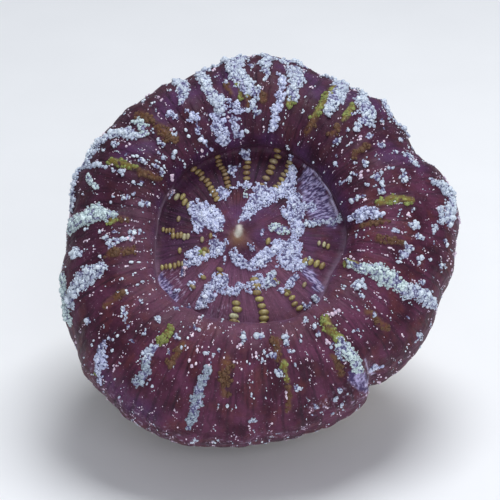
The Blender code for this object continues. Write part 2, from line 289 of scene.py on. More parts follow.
DISC_CLUMPS = clumps(
    Tone.LAVENDER,
    (306, 15.8, 1.1), (314, 3.5, 1.2), (12, 4.2, 1.0), (222, 12.5, 1.1), (218, 14.9, 0.8), (224, 10.1, 0.9),
    (231, 5.3, 0.8), (234, 6.2, 0.8), (176, 5.1, 0.8), (65, 17.0, 1.0), (192, 10.5, 0.5), (176, 14.6, 0.8),
    (214, 16.4, 0.8), (230, 16.4, 1.1), (350, 4.6, 0.6), (256, 8.2, 0.6),
)

ALL_CRUST = UPPER_RIGHT_CRUST + UPPER_LEFT_CRUST + LOWER_CRUST + RING_CLUMPS + DISC_CRUST + DISC_CLUMPS

OLIVE_STREAKS = streaks(
    (Tone.OLIVE, (154, 33.4, 1.2), (154, 31.0, 1.2), (154, 28.2, 1.0)),
    (Tone.OLIVE, (178, 30.6, 1.0), (178, 29.4, 0.8)),
    (Tone.OLIVE, (94, 31.0, 1.1), (94, 28.3, 1.0)),
    (Tone.OLIVE, (74, 29.0, 1.2), (74, 27.4, 1.0)),
    (Tone.OLIVE, (62, 36.4, 1.1), (61, 32.3, 1.3), (61, 30.2, 1.3), (61, 27.7, 1.0)),
    (Tone.OLIVE, (52, 33.6, 1.0), (51, 31.7, 1.1), (50, 29.8, 0.8)),
    (Tone.OLIVE, (10, 26.7, 1.1), (11, 29.0, 1.4), (10, 31.7, 1.1)),
    (Tone.OLIVE, (234, 26.8, 1.1), (234, 29.3, 1.2)),
    (Tone.OLIVE, (306, 26.4, 1.3), (304, 28.4, 1.5), (306, 31.2, 1.4)),
    (Tone.OLIVE, (282, 30.8, 1.0), (282, 33.8, 0.8)),
    (Tone.OLIVE, (338, 22.8, 1.1), (338, 24.6, 1.2)),
    (Tone.OLIVE, (222, 40.6, 0.8), (222, 42.6, 0.8)),
    (Tone.OCHRE, (61, 27.2, 1.1), (61, 24.4, 0.9)),
    (Tone.OCHRE, (50, 28.0, 1.0), (50, 26.4, 0.8)),
    (Tone.OCHRE, (154, 26.8, 1.2), (152, 23.7, 1.1)),
    (Tone.OCHRE, (132, 29.6, 1.4), (132, 27.8, 1.4), (130, 25.8, 1.1)),
    (Tone.OCHRE, (133, 35.4, 1.4), (132, 31.4, 1.2)),
    (Tone.OCHRE, (177, 28.6, 0.9), (178, 27.0, 0.8)),
    (Tone.OCHRE, (193, 29.6, 1.2), (193, 25.6, 1.0)),
    (Tone.OCHRE, (210, 32.6, 1.0), (210, 28.8, 1.1)),
    (Tone.OCHRE, (260, 29.6, 1.3), (261, 35.0, 1.2)),
    (Tone.OCHRE, (281, 26.6, 1.2), (280, 29.4, 1.1)),
    (Tone.OCHRE, (282, 35.0, 0.9), (281, 39.6, 0.8)),
    (Tone.OCHRE, (242, 28.2, 1.0), (241, 32.0, 1.0)),
    (Tone.OCHRE, (85, 28.2, 1.1), (85, 27.4, 1.0)),
    (Tone.OCHRE, (92, 27.2, 0.9), (92, 26.4, 0.8)),
    (Tone.OCHRE, (352, 27.0, 1.0), (352, 31.0, 0.9)),
    (Tone.OCHRE, (0, 23.6, 0.9), (1, 27.6, 1.0)),
    (Tone.OCHRE, (321, 31.0, 1.0), (322, 35.6, 1.0)),
    (Tone.OCHRE, (300, 32.4, 0.8), (300, 36.4, 0.9)),
    (Tone.OCHRE, (36, 27.2, 1.0), (36, 30.2, 0.9)),
    (Tone.OCHRE, (100, 31.6, 0.9), (99, 29.4, 0.9)),
    (Tone.OLIVE, (200, 7.2, 1.2), (202, 8.4, 0.8)),
    (Tone.OLIVE, (302, 9.3, 1.0), (302, 9.9, 0.9)),
    (Tone.OLIVE, (304, 12.0, 1.0), (304, 12.6, 0.9)),
)

VEILS = streaks(
    (Growth.VEIL, (50, 16.0, 2.2), (42, 15.2, 4.0), (31, 14.6, 4.9), (20, 14.6, 4.2), (13, 15.2, 2.4)),
    (Growth.VEIL, (329, 12.3, 1.6), (326, 14.3, 2.3), (322, 15.8, 1.6)),
    (Growth.VEIL, (304, 38.0, 2.2), (305, 40.5, 3.2), (307, 43.0, 2.6)),
    (Growth.VEIL, (204, 15.6, 1.0), (212, 16.2, 1.8), (220, 16.0, 1.2)),
    (Growth.FAINT_VEIL, (206, 13.5, 3.0), (214, 14.8, 3.4), (222, 14.8, 3.0)),
    (
        Growth.FAINT_VEIL,
        (218, 43.0, 3.0), (225, 45.5, 5.0), (236, 45.5, 6.0), (248, 46.0, 5.0), (258, 47.0, 3.0),
    ),
    (Growth.FAINT_VEIL, (290, 41.0, 3.5), (298, 42.0, 5.0), (306, 46.0, 4.0)),
    (Growth.FAINT_VEIL, (310, 40.0, 2.4), (313, 45.0, 3.0)),
    (Growth.FAINT_VEIL, (262, 47.0, 3.0), (272, 46.5, 4.0), (286, 46.5, 3.0)),
    (Growth.FAINT_VEIL, (62, 38.5, 3.0), (52, 36.0, 3.0)),
    (Growth.FAINT_VEIL, (28, 41.0, 3.0), (16, 42.0, 4.0), (6, 41.0, 4.0)),
    (Growth.FAINT_VEIL, (239, 14.6, 3.2), (252, 14.2, 3.0)),
    (Growth.STAIN, (104, 25.0, 5.0), (103, 21.5, 4.0)),
    (Growth.STAIN, (100, 35.0, 3.0), (98, 30.0, 3.0)),
    (Growth.STAIN, (112, 33.0, 4.0), (122, 33.0, 5.0), (126, 31.0, 4.0)),
    (Growth.STAIN, (80, 36.0, 3.0), (70, 37.0, 3.4), (66, 33.0, 3.0)),
    (Growth.STAIN, (56, 34.0, 3.4), (54, 38.0, 3.4), (46, 38.0, 3.0)),
    (Growth.STAIN, (150, 32.0, 3.0), (142, 28.0, 3.0)),
    (Growth.STAIN, (30, 33.0, 4.0), (24, 37.0, 4.0)),
    (Growth.STAIN, (28, 20.0, 4.0), (10, 20.0, 4.0), (350, 20.0, 3.0)),
    (Growth.STAIN, (225, 42.0, 5.0), (240, 42.0, 5.0)),
    (Growth.STAIN, (318, 16.0, 3.0), (330, 13.0, 3.0)),
    (Growth.STAIN, (90, 4.0, 4.0), (60, 6.0, 3.0)),
)

RIMS = streaks(
    (Growth.LINE, (57, 16.8, 0.3), (46, 17.5, 0.4), (33, 17.2, 0.4), (21, 16.9, 0.4), (11, 16.9, 0.4)),
    (Growth.LINE, (208, 17.0, 0.4), (214, 17.8, 0.5), (222, 17.6, 0.3)),
    (Growth.LINE, (310, 38.0, 0.4), (310, 42.0, 0.5), (312, 46.0, 0.5)),
    (Growth.LINE, (306, 42.0, 0.4), (310, 45.5, 0.5)),
    (Growth.LINE, (328, 13.6, 0.3), (321, 16.4, 0.4)),
)

SEAMS = streaks(
    (Growth.LINE, (148, 17.6, 1.2), (163, 19.0, 1.6), (180, 18.6, 1.8), (198, 17.8, 1.6), (214, 18.2, 1.2)),
    (Growth.LINE, (5, 17.4, 1.2), (-12, 17.4, 1.6), (-30, 17.2, 1.5), (-45, 17.2, 1.2), (-60, 17.6, 0.8)),
    (Growth.LINE, (345, 1.0, 0.7), (330, 2.6, 0.6), (316, 5.0, 0.5)),
    (Growth.LINE, (217, 1.7, 0.6), (222, 4.0, 0.5)),
    (Growth.LINE, (100, 1.2, 1.4), (88, 3.4, 1.6)),
    (Growth.LINE, (160, 1.0, 0.6), (165, 3.4, 0.5)),
)
MOUTH_SLIT = streaks((Growth.LINE, (85, 1.7, 0.8), (60, 0.5, 1.1)))

# The upper rows are given less light, as painted shade under the ring's upper edge.
BEAD_ROWS = (
    BeadRow((127, 17.0), (124, 9.0), 0.56, 0.4),
    BeadRow((112, 17.0), (108, 10.4), 0.50, 0.2),
    BeadRow((92, 14.4), (91, 11.2), 0.56, 0.3),
    BeadRow((74, 17.2), (73, 11.6), 0.62, 0.3),
    BeadRow((64, 16.0), (60, 10.8), 0.50, 0.4),
    BeadRow((148, 15.6), (150, 12.4), 0.60, 0.6),
    BeadRow((179, 13.8), (179, 10.7), 0.52, 0.6),
    BeadRow((175, 16.2), (175, 14.0), 0.44, 0.5),
    BeadRow((199, 16.0), (204, 11.7), 0.50, 0.8),
    BeadRow((260, 13.0), (259, 20.0), 0.68, 0.9),
    BeadRow((282, 8.6), (277, 18.0), 0.70, 0.9),
    BeadRow((304, 12.6), (303, 15.6), 0.56, 0.8),
    BeadRow((336, 12.1), (338, 14.9), 0.60, 0.7),
    BeadRow((354, 13.0), (354, 14.6), 0.44, 0.5),
)
LONE_BEADS = (
    (185, 7.5), (178, 6.0), (205, 7.2), (206, 6.4), (240, 8.5), (318, 13.5), (350, 5.3), (74, 10.3),
    (225, 10.1), (301, 9.6), (224, 12.7), (164, 13.4), (192, 12.2), (236, 7.4),
)

# The angles of the main septa, in degrees, where the ring swells.
SEPTA = (
    8, 23, 37, 49, 61, 75, 86, 97, 107, 118, 132, 145, 160, 176,
    190, 203, 218, 234, 253, 267, 282, 305, 321, 338, 353,
)

# The skin's colour attributes and the masks that each holds.
MASK_GROUPS = {
    "growth": ("olive", "ochre", "crust"),
    "tissue": ("disc", "veil", "rim"),
    "lips": ("fold", "brown", "cream"),
    # painted shade towards the upper left, painted light on the disc's lower part, and the faint veil
    "painted_light_shade_and_haze": ("upper_painted_shade", "lower_painted_light", "haze"),
    "dye": ("stain",),
}


def smooth(start: float, end: float, values: np.ndarray) -> np.ndarray:
    """A smooth step at each value, from 0 at the start to 1 at the end."""
    share = np.clip((values - start) / (end - start), 0.0, 1.0)
    return share * share * (3.0 - 2.0 * share)


def within(band: Band, values: np.ndarray) -> np.ndarray:
    """1 within a band and 0 outside it, with a smooth rise and fall between."""
    return smooth(band[0], band[1], values) * (1.0 - smooth(band[2], band[3], values))


def hump(values: np.ndarray | float, middle: float, half: float) -> np.ndarray | float:
    """A smooth hump at each value, 1 at its middle and about a third at its half width."""
    return np.exp(-(((values - middle) / half) ** 2))


def apart(angle: np.ndarray, other: float) -> np.ndarray:
    """How far angles are from another one, the short way round."""
    return (angle - other + math.pi) % TURN - math.pi


def through(knots: np.ndarray, i: np.ndarray, share: np.ndarray) -> np.ndarray:
    """The smooth curve through a row of knots.

    Args:
        knots: the knots, with one more than is passed through at either end.
        i: the knot before each point.
        share: how far each point is on the way to the next knot.

    Returns:
        The curve's points.
    """
    before, first, second, after = (knots[i + k] for k in (-1, 0, 1, 2))
    while share.ndim < first.ndim:
        share = share[..., None]
    return 0.5 * (
        2.0 * first
        + (second - before) * share
        + (2.0 * before - 5.0 * first + 4.0 * second - after) * share**2
        + (3.0 * first - before - 3.0 * second + after) * share**3
    )


def roughness(points: np.ndarray, size: float, shift: float = 0.0) -> np.ndarray:
    """Smooth random values from about -1 to 1, with features of a size and moved by a shift."""
    flat = (points + shift).reshape(-1, 3).tolist()
    return np.array([noise.noise(Vector(point) / size) for point in flat]).reshape(points.shape[:-1])


def drifts(points: np.ndarray, size: float) -> np.ndarray:
    """Smooth random shifts of points, each part from about -0.5 to 0.5, that vary over a size."""
    flat = points.reshape(-1, 3).tolist()
    return np.array([noise.noise_vector(Vector(point) / size) for point in flat]).reshape(points.shape)


def ragged(points: np.ndarray) -> np.ndarray:
    """Points shifted by up to about a mm, so that what grows by them gets a ragged edge."""
    return points + 0.6 * drifts(points, 3.0) + 0.7 * drifts(points + 50.0, 1.0)


def unit(vectors: np.ndarray) -> np.ndarray:
    """The vectors at length 1."""
    return vectors / np.maximum(np.linalg.norm(vectors, axis=-1, keepdims=True), 1e-9)


def grid(reaches: np.ndarray, turns: int) -> list[np.ndarray]:
    """The reach and the angle of each vertex of a turned body, ring by ring."""
    return np.meshgrid(reaches, np.linspace(0.0, TURN, turns, endpoint=False), indexing="ij")


def circle(radius: float, angle: np.ndarray, height: np.ndarray | float) -> np.ndarray:
    """Points round an upright axis, at a radius and at each angle and height."""
    return np.stack(np.broadcast_arrays(radius * np.cos(angle), radius * np.sin(angle), height), axis=-1)


@dataclass
class PolypForm:
    """The coral's form, the same as the solid's, and its relief.

    Lengths are in mm, angles in radians. A profile point is a radius and a height over the disc, and an
    outline has evenly spaced radii, from the right and counterclockwise. A band is the four reaches
    between which a feature rises and falls.

    Args:
        centre: the middle of the oral disc in the part's frame.
    """

    centre: np.ndarray
    disc_radius: float = 16.5
    ring_radius: float = 35.0
    tilt: float = math.radians(42.0)
    bend_start: float = -21.0
    bend_length: float = 22.0
    mouth_offset: Span = (-2.6, -0.5)
    mouth_squeeze: float = 0.35
    mouth_reach: float = 3.0
    base_height: float = -46.3
    front_height: float = -8.0
    round_depth: float = 26.0
    turn_step: float = 0.004
    reach_step: float = 0.1
    least_reach: float = 0.3
    ring_band: Band = (19.0, 28.0, 52.0, 64.0)
    ring_swells: tuple[Triple, ...] = ((0.35, 7.0, 0.6), (0.25, 11.0, 2.1))
    septum_band: Band = (17.5, 24.0, 48.0, 60.0)
    septum_height: float = 0.34
    septum_half_angle: float = math.radians(3.4)
    ribs: int = 66
    rib_height: float = 0.2
    rib_bluntness: float = 0.6
    rib_wander: float = 0.016
    rib_unevenness: float = 0.6
    rib_band: Band = (19.0, 30.0, 58.0, 64.0)
    disc_rib_band: Band = (5.0, 9.0, 15.0, 17.0)
    disc_rib_share: float = 0.35
    crease_angle: float = math.radians(311.0)
    crease_depth: float = 1.6
    crease_half_angle: float = math.radians(3.0)
    crease_band: Band = (34.0, 44.0, 56.0, 66.0)
    broad_size: float = 5.0
    broad_height: float = 0.22
    small_size: float = 1.6
    small_height: float = 0.05
    small_ring_height: float = 0.07
    rough_ring: Span = (18.0, 24.0)
    profile: tuple[Span, ...] = (
        (0.0, 1.2), (1.0, 1.9), (2.4, 1.5), (4.5, 0.7),
        (7.5, 0.35), (10.5, 0.1), (13.5, -0.4), (15.6, -0.9),
        (16.6, -0.5), (16.7, 1.2), (17.2, 3.0), (18.6, 4.6),
        (21.0, 5.7), (24.0, 5.9), (27.0, 5.1), (30.0, 3.3), (32.8, 0.4),
        (34.6, -3.4), (35.0, -8.0), (34.4, -12.5), (32.8, -16.8), (30.4, -20.0),
        (27.8, -21.6), (26.2, -21.2), (25.4, -20.2), (24.6, -21.4),
        (24.2, -25.0), (23.2, -31.0), (22.6, -37.0), (23.4, -43.0),
    )
    ring_outline: tuple[float, ...] = (
        35.9, 37.6, 34.5, 35.3, 34.6, 36.0, 35.9, 34.1, 34.2, 34.4, 33.1, 33.7,
        33.0, 34.2, 35.5, 37.3, 37.5, 35.9, 35.4, 34.0, 34.0, 32.5, 35.0, 34.2,
    )
    disc_outline: tuple[float, ...] = (
        16.4, 15.9, 16.0, 16.3, 16.8, 17.1, 16.9, 16.6, 16.6, 16.6, 16.6, 16.4,
        16.5, 17.3, 18.4, 18.0, 17.0, 16.5, 16.3, 16.7, 17.0, 16.8, 15.5, 16.0,
    )
    fine_points: np.ndarray = field(init=False)
    fine_reach: np.ndarray = field(init=False)

    def __post_init__(self) -> None:
        """Works out close points of the profile, and how far each lies from the mouth."""
        knots = np.array((self.profile[0], *self.profile, self.profile[-1]))
        steps = np.linspace(0.0, len(self.profile) - 1.0, 24 * len(self.profile))
        i = np.minimum(steps.astype(int), len(self.profile) - 2)
        self.fine_points = through(knots, i + 1, steps - i)
        self.fine_points[:, 0] = np.maximum(self.fine_points[:, 0], 0.0)
        lengths = np.linalg.norm(np.diff(self.fine_points, axis=0), axis=1)
        self.fine_reach = np.concatenate(([0.0], np.cumsum(lengths)))

    @property
    def end(self) -> float:
        """The reach of the cut's edge."""
        return float(self.fine_reach[-1])

    def outline(self, radii: tuple[float, ...], angle: np.ndarray) -> np.ndarray:
        """An outline's radius at each angle.

        Args:
            radii: the outline's radii.
            angle: the angles.

        Returns:
            The radius at each.
        """
        place = (angle / TURN) % 1.0 * len(radii)
        i = place.astype(int) % len(radii)
        knots = np.array((radii[-1], *radii, *radii[:3]))
        return through(knots, i + 1, place - np.floor(place))

    def on_face(self, angle: np.ndarray, reach: np.ndarray) -> np.ndarray:
        """Points of the form without relief, in face coordinates.

        Args:
            angle: the angle of each point.
            reach: the reach of each point.

        Returns:
            The points.
        """
        radius = np.interp(reach, self.fine_reach, self.fine_points[:, 0])
        height = np.interp(reach, self.fine_reach, self.fine_points[:, 1])
        disc = self.outline(self.disc_outline, angle)
        ring = self.outline(self.ring_outline, angle)
        inside = np.clip(radius / self.disc_radius, 0.0, 1.0)
        outside = np.clip((radius - self.disc_radius) / (self.ring_radius - self.disc_radius), 0.0, 1.0)
        roundness = np.clip((self.front_height - height) / self.round_depth, 0.0, 1.0)
        front = disc * inside + (ring - disc) * outside
        back = radius * (roundness + (1.0 - roundness) * ring / self.ring_radius)
        is_front = height > self.front_height
        spread = np.where(is_front, front, back)
        shift = np.where(is_front, 1.0 - inside, 0.0)
        squeeze = 1.0 - self.mouth_squeeze * (1.0 - smooth(0.0, self.mouth_reach, reach))
        x = spread * np.cos(angle) * squeeze + self.mouth_offset[0] * shift
        y = spread * np.sin(angle) + self.mouth_offset[1] * shift
        return np.stack((x, y, height), axis=-1)

    def placed(self, points: np.ndarray) -> np.ndarray:
        """Points in face coordinates, moved into the part's frame with the stalk bent.

        Args:
            points: the points.

        Returns:
            The same points in the part's frame.
        """
        bend_radius = self.bend_length / self.tilt
        x, up, out = points[..., 0], points[..., 1], points[..., 2]
        past = np.maximum(self.bend_start - out, 0.0)
        turn = np.minimum(past / bend_radius, self.tilt)
        straight = np.maximum(past - self.bend_length, 0.0)
        arm = up + bend_radius
        y = arm * np.cos(turn) - bend_radius - straight * np.sin(turn)
        z = np.maximum(out, self.bend_start) - arm * np.sin(turn) - straight * np.cos(turn)
        lean_sin, lean_cos = math.sin(self.tilt), math.cos(self.tilt)
        return self.centre + np.stack((x, y * lean_cos - z * lean_sin, y * lean_sin + z * lean_cos), -1)

    def slopes(self, angle: np.ndarray, reach: np.ndarray, in_part: bool) -> tuple[np.ndarray, ...]:
        """The form's directions at each point.

        Args:
            angle: the angle of each point.
            reach: the reach of each point.
            in_part: whether they are wanted in the part's frame, and not in face coordinates.

        Returns:
            Vectors around the form, and vectors along it away from the mouth.
        """
        frame = self.placed if in_part else np.asarray
        turn, step = self.turn_step, self.reach_step
        around = frame(self.on_face(angle + turn, reach)) - frame(self.on_face(angle - turn, reach))
        along = frame(self.on_face(angle, reach + step)) - frame(self.on_face(angle, reach - step))
        return around, along

    def face_normal(self, angle: np.ndarray, reach: np.ndarray) -> np.ndarray:
        """The form's outward normals, in face coordinates.

        Args:
            angle: the angle of each point.
            reach: the reach of each point.

        Returns:
            The normal at each point.
        """
        reach = np.clip(reach, self.least_reach, self.end - self.reach_step)
        around, along = self.slopes(angle, reach, False)
        return unit(np.cross(along, around))

    def stations(self, run: Streak, step: float = 0.35) -> tuple[np.ndarray, np.ndarray, np.ndarray]:
        """Close stations along a streak.

        Args:
            run: the streak.
            step: how far apart they are.

        Returns:
            The angle, the reach and the width at each.
        """
        stops = np.array(run.stops, float)
        if len(stops) == 1:
            stops = np.repeat(stops, 2, axis=0)
        angle = np.radians(stops[:, 0])
        places = self.on_face(angle, stops[:, 1])
        lengths = np.linalg.norm(np.diff(places, axis=0), axis=1)
        marks = np.concatenate(([0.0], np.cumsum(np.maximum(lengths, 1e-6))))
        at = np.linspace(0.0, marks[-1], max(2, int(marks[-1] / step) + 1))
        return tuple(np.interp(at, marks, values) for values in (angle, stops[:, 1], stops[:, 2]))

    def cover(self, points: np.ndarray, runs: tuple[Streak, ...]) -> np.ndarray:
        """How far points lie inside streaks.

        Args:
            points: the points, in face coordinates.
            runs: the streaks.

        Returns:
            1 on a streak's middle line, 0 on its edge and less outside it, to -1.
        """
        flat = points.reshape(-1, 3)
        best = np.full(len(flat), -1.0)
        for run in runs:
            angle, reach, width = self.stations(run)
            centres = self.on_face(angle, reach)
            low, high = centres.min(0) - width.max(), centres.max(0) + width.max()
            near = np.flatnonzero(((flat > low) & (flat < high)).all(1))
            if len(near):
                off = np.linalg.norm(flat[near, None, :] - centres[None, :, :], axis=2)
                best[near] = np.maximum(best[near], (1.0 - 2.0 * off / width[None, :]).max(1))
        return best.reshape(points.shape[:-1])

    def swells(self, angle: np.ndarray, reach: np.ndarray) -> np.ndarray:
        """The ring's broad swells and the swell over each main septum.

        Args:
            angle: the angle of each point.
            reach: the reach of each point.

        Returns:
            Their height at each point.
        """
        broad = sum(height * np.cos(count * angle + turn) for height, count, turn in self.ring_swells)
        lift = broad * within(self.ring_band, reach)
        over_septa = self.septum_height * within(self.septum_band, reach)
        for septum in SEPTA:
            lift = lift + over_septa * hump(apart(angle, math.radians(septum)), 0.0, self.septum_half_angle)
        return lift

    def fine_ribs(self, angle: np.ndarray, reach: np.ndarray, wander: np.ndarray) -> np.ndarray:
        """The fine ribs over the small septa, with narrow grooves between them.

        Args:
            angle: the angle of each point.
            reach: the reach of each point.
            wander: smooth random values that turn the ribs and change their height.

        Returns:
            Their height at each point.
        """
        ridge = np.abs(np.cos(0.5 * self.ribs * (angle + self.rib_wander * wander))) ** self.rib_bluntness
        share = within(self.rib_band, reach) + self.disc_rib_share * within(self.disc_rib_band, reach)
        return self.rib_height * share * (ridge - 0.5) * (1.0 + self.rib_unevenness * wander)

    def crease(self, angle: np.ndarray, reach: np.ndarray) -> np.ndarray:
        """The height, below 0, of the fold that pinches the ring in at its lower right."""
        across = hump(apart(angle, self.crease_angle), 0.0, self.crease_half_angle)
        return -self.crease_depth * within(self.crease_band, reach) * across

    def relief(self, angle: np.ndarray, reach: np.ndarray, points: np.ndarray) -> np.ndarray:
        """The skin's whole relief.

        Args:
            angle: the angle of each point.
            reach: the reach of each point.
            points: the points without relief, in face coordinates.

        Returns:
            How far the skin stands proud of the form.
        """
        broad = roughness(points, self.broad_size)
        small = roughness(points, self.small_size, 40.0)
        on_ring = smooth(*self.rough_ring, reach)
        return (
            self.swells(angle, reach)
            + self.fine_ribs(angle, reach, broad)
            + self.crease(angle, reach)
            + self.broad_height * broad * on_ring
            + (self.small_height + self.small_ring_height * on_ring) * small
        )

    def skin(self, angle: np.ndarray, reach: np.ndarray, lift: np.ndarray) -> np.ndarray:
        """Points over the skin, in face coordinates.

        Args:
            angle: the angle of each point.
            reach: the reach of each point.
            lift: how far over the skin each lies.

        Returns:
            The points.
        """
        points = self.on_face(angle, reach)
        height = self.relief(angle, reach, points) + lift
        return points + self.face_normal(angle, reach) * height[..., None]


def new_object(name: str, vertices: np.ndarray, faces: list[tuple[int, ...]]) -> bpy.types.Object:
    """A smooth-shaded mesh object.

    Args:
        name: its name.
        vertices: its vertices, in metres.
        faces: its faces, as vertex numbers.

    Returns:
        The object, linked into the scene.
    """
    mesh = bpy.data.meshes.new(name)
    mesh.from_pydata(vertices.tolist(), [], faces)
    mesh.shade_smooth()
    piece = bpy.data.objects.new(name, mesh)
    bpy.context.scene.collection.objects.link(piece)
    return piece


def lathe_faces(rings: int, turns: int) -> list[tuple[int, ...]]:
    """The faces of a closed turned body.

    Args:
        rings: its rings of vertices, first to last; after them come its first and last end's middles.
        turns: the vertices in a ring.

    Returns:
        The faces, facing out.
    """
    pairs = [(turn, (turn + 1) % turns) for turn in range(turns)]
    end_ring, first, last = (rings - 1) * turns, rings * turns, rings * turns + 1
    faces = []
    for start in range(0, end_ring, turns):
        faces.extend((start + a, start + a + turns, start + b + turns, start + b) for a, b in pairs)
    for a, b in pairs:
        faces.append((first, a, b))
        faces.append((last, end_ring + b, end_ring + a))
    return faces


def paint(piece: bpy.types.Object, name: str, values: np.ndarray) -> None:
    """Stores a colour, or three masks, on a piece's vertices.

    Args:
        piece: the piece.
        name: the attribute's name.
        values: red, green and blue for each vertex.
    """
    colours = np.ones((len(piece.data.vertices), 4), np.float32)
    colours[:, :3] = values
    layer = piece.data.color_attributes.new(name, "FLOAT_COLOR", "POINT")
    layer.data.foreach_set("color", colours.ravel())


@dataclass(frozen=True)
class Patches:
    """Patches that a finish takes from noise in the object's own space.

    Args:
        size: the size of its features, in mm.
        detail: how much finer noise it holds.
        start: the noise where a patch starts.
        full: the noise where a patch is whole.
        stretch: how much faster it changes along each axis.
    """

    size: float
    detail: float
    start: float
    full: float
    stretch: Triple = (1.0, 1.0, 1.0)


class NodeSheet:
    """A material's nodes, laid down one after another."""

    def __init__(self, name: str) -> None:
        """Starts an empty material.

        Args:
            name: the material's name.
        """
        self.material = bpy.data.materials.new(name)
        self.material.use_nodes = True
        self.tree = self.material.node_tree
        self.tree.nodes.clear()

    def node(self, kind: str, inputs: dict | None = None, **settings: object) -> bpy.types.Node:
        """Adds a node.

        Args:
            kind: the node's type, without its ShaderNode start.
            inputs: its inputs by name or number, each a value or an output to link.
            settings: its own settings.

        Returns:
            The node.
        """
        made = self.tree.nodes.new("ShaderNode" + kind)
        for name, value in settings.items():
            setattr(made, name, value)
        for name, value in (inputs or {}).items():
            if isinstance(value, Socket):
                self.tree.links.new(value, made.inputs[name])
            else:
                made.inputs[name].default_value = value
        return made

    def stored(self, name: str, output: str = "Color") -> Socket:
        """What one of the mesh's attributes holds, read from the named output."""
        return self.node("Attribute", attribute_name=name).outputs[output]

    def masks(self, name: str) -> tuple[Socket, ...]:
        """The three masks of one of the mesh's colour attributes."""
        return tuple(self.node("SeparateColor", {0: self.stored(name)}).outputs)

    def noise_at(self, place: Socket, scale: Triple, detail: float) -> Socket:
        """Noise from 0 to 1 that follows a place, with its features to the unit each way."""
        scaled = self.node("Mapping", {"Vector": place, "Scale": scale}).outputs[0]
        return self.node("TexNoise", {"Vector": scaled, "Scale": 1.0, "Detail": detail}).outputs[0]

    def speckle(self, size: float, detail: float, stretch: Triple = (1.0, 1.0, 1.0)) -> Socket:
        """Noise from 0 to 1 in the object's own space, with features of a size in mm."""
        place = self.node("TexCoord").outputs["Object"]
        return self.noise_at(place, tuple(share / (size * MM) for share in stretch), detail)

    def strands(self, around: float, along: float, detail: float) -> Socket:
        """Noise from 0 to 1 by the mesh's angle and reach, with its features to the mm each way."""
        return self.noise_at(self.stored("grain", "Vector"), (around, around, along), detail)

    def ramp(self, value: Socket, start: float, full: float) -> Socket:
        """A value stretched so that start becomes 0 and full becomes 1."""
        inputs = {0: value, 1: start, 2: full}
        return self.node("MapRange", inputs, interpolation_type="SMOOTHSTEP").outputs[0]

    def patches(self, kind: Patches) -> Socket:
        """The mask of a kind of patches, from 0 to 1."""
        return self.ramp(self.speckle(kind.size, kind.detail, kind.stretch), kind.start, kind.full)

    def calculated(self, operation: str, first: Socket, *others: object) -> Socket:
        """A value and others put together one after another.

        Args:
            operation: what to do with them.
            first: the first value.
            others: the other values.

        Returns:
            The result.
        """
        for other in others:
            first = self.node("Math", {0: first, 1: other}, operation=operation).outputs[0]
        return first

    def times(self, *values: object) -> Socket:
        """The product of values, of which the first is an output."""
        return self.calculated("MULTIPLY", *values)

    def plus(self, *values: object) -> Socket:
        """The sum of values, of which the first is an output."""
        return self.calculated("ADD", *values)

    def mix(self, share: object, first: object, second: object, blend: str = "MIX") -> Socket:
        """Two colours mixed.

        Args:
            share: how much of the second there is.
            first: the first colour.
            second: the second colour.
            blend: how the second is laid over the first.

        Returns:
            The mixed colour.
        """
        inputs = {0: share, 6: first, 7: second}
        for number in (6, 7):
            if not isinstance(inputs[number], Socket):
                inputs[number] = (*inputs[number], 1.0)
        return self.node("Mix", inputs, data_type="RGBA", blend_type=blend).outputs[2]

    def laid(self, colour: object, *layers: tuple[object, object]) -> Socket:
        """Colours laid one over another.

        Args:
            colour: the lowest colour.
            layers: the share and the colour of each layer over it.

        Returns:
            The colour that shows.
        """
        for share, over in layers:
            colour = self.mix(share, colour, over)
        return colour

    def finish(self, colour: Socket, rough: object, height: Socket, depth: float, **sockets: object) -> None:
        """Adds the shader, its bump and the output.

        Args:
            colour: the base colour.
            rough: the roughness.
            height: the bump's height, from 0 to 1.
            depth: how deep the bump is, in mm.
            sockets: the shader's other values, with a space of the socket's name written as _.
        """
        bump = self.node("Bump", {"Strength": 1.0, "Distance": depth * MM, "Height": height})
        inputs = {"Base Color": colour, "Roughness": rough, "Normal": bump.outputs[0]}
        inputs.update({name.replace("_", " "): value for name, value in sockets.items()})
        self.node("OutputMaterial", {0: self.node("BsdfPrincipled", inputs).outputs[0]})


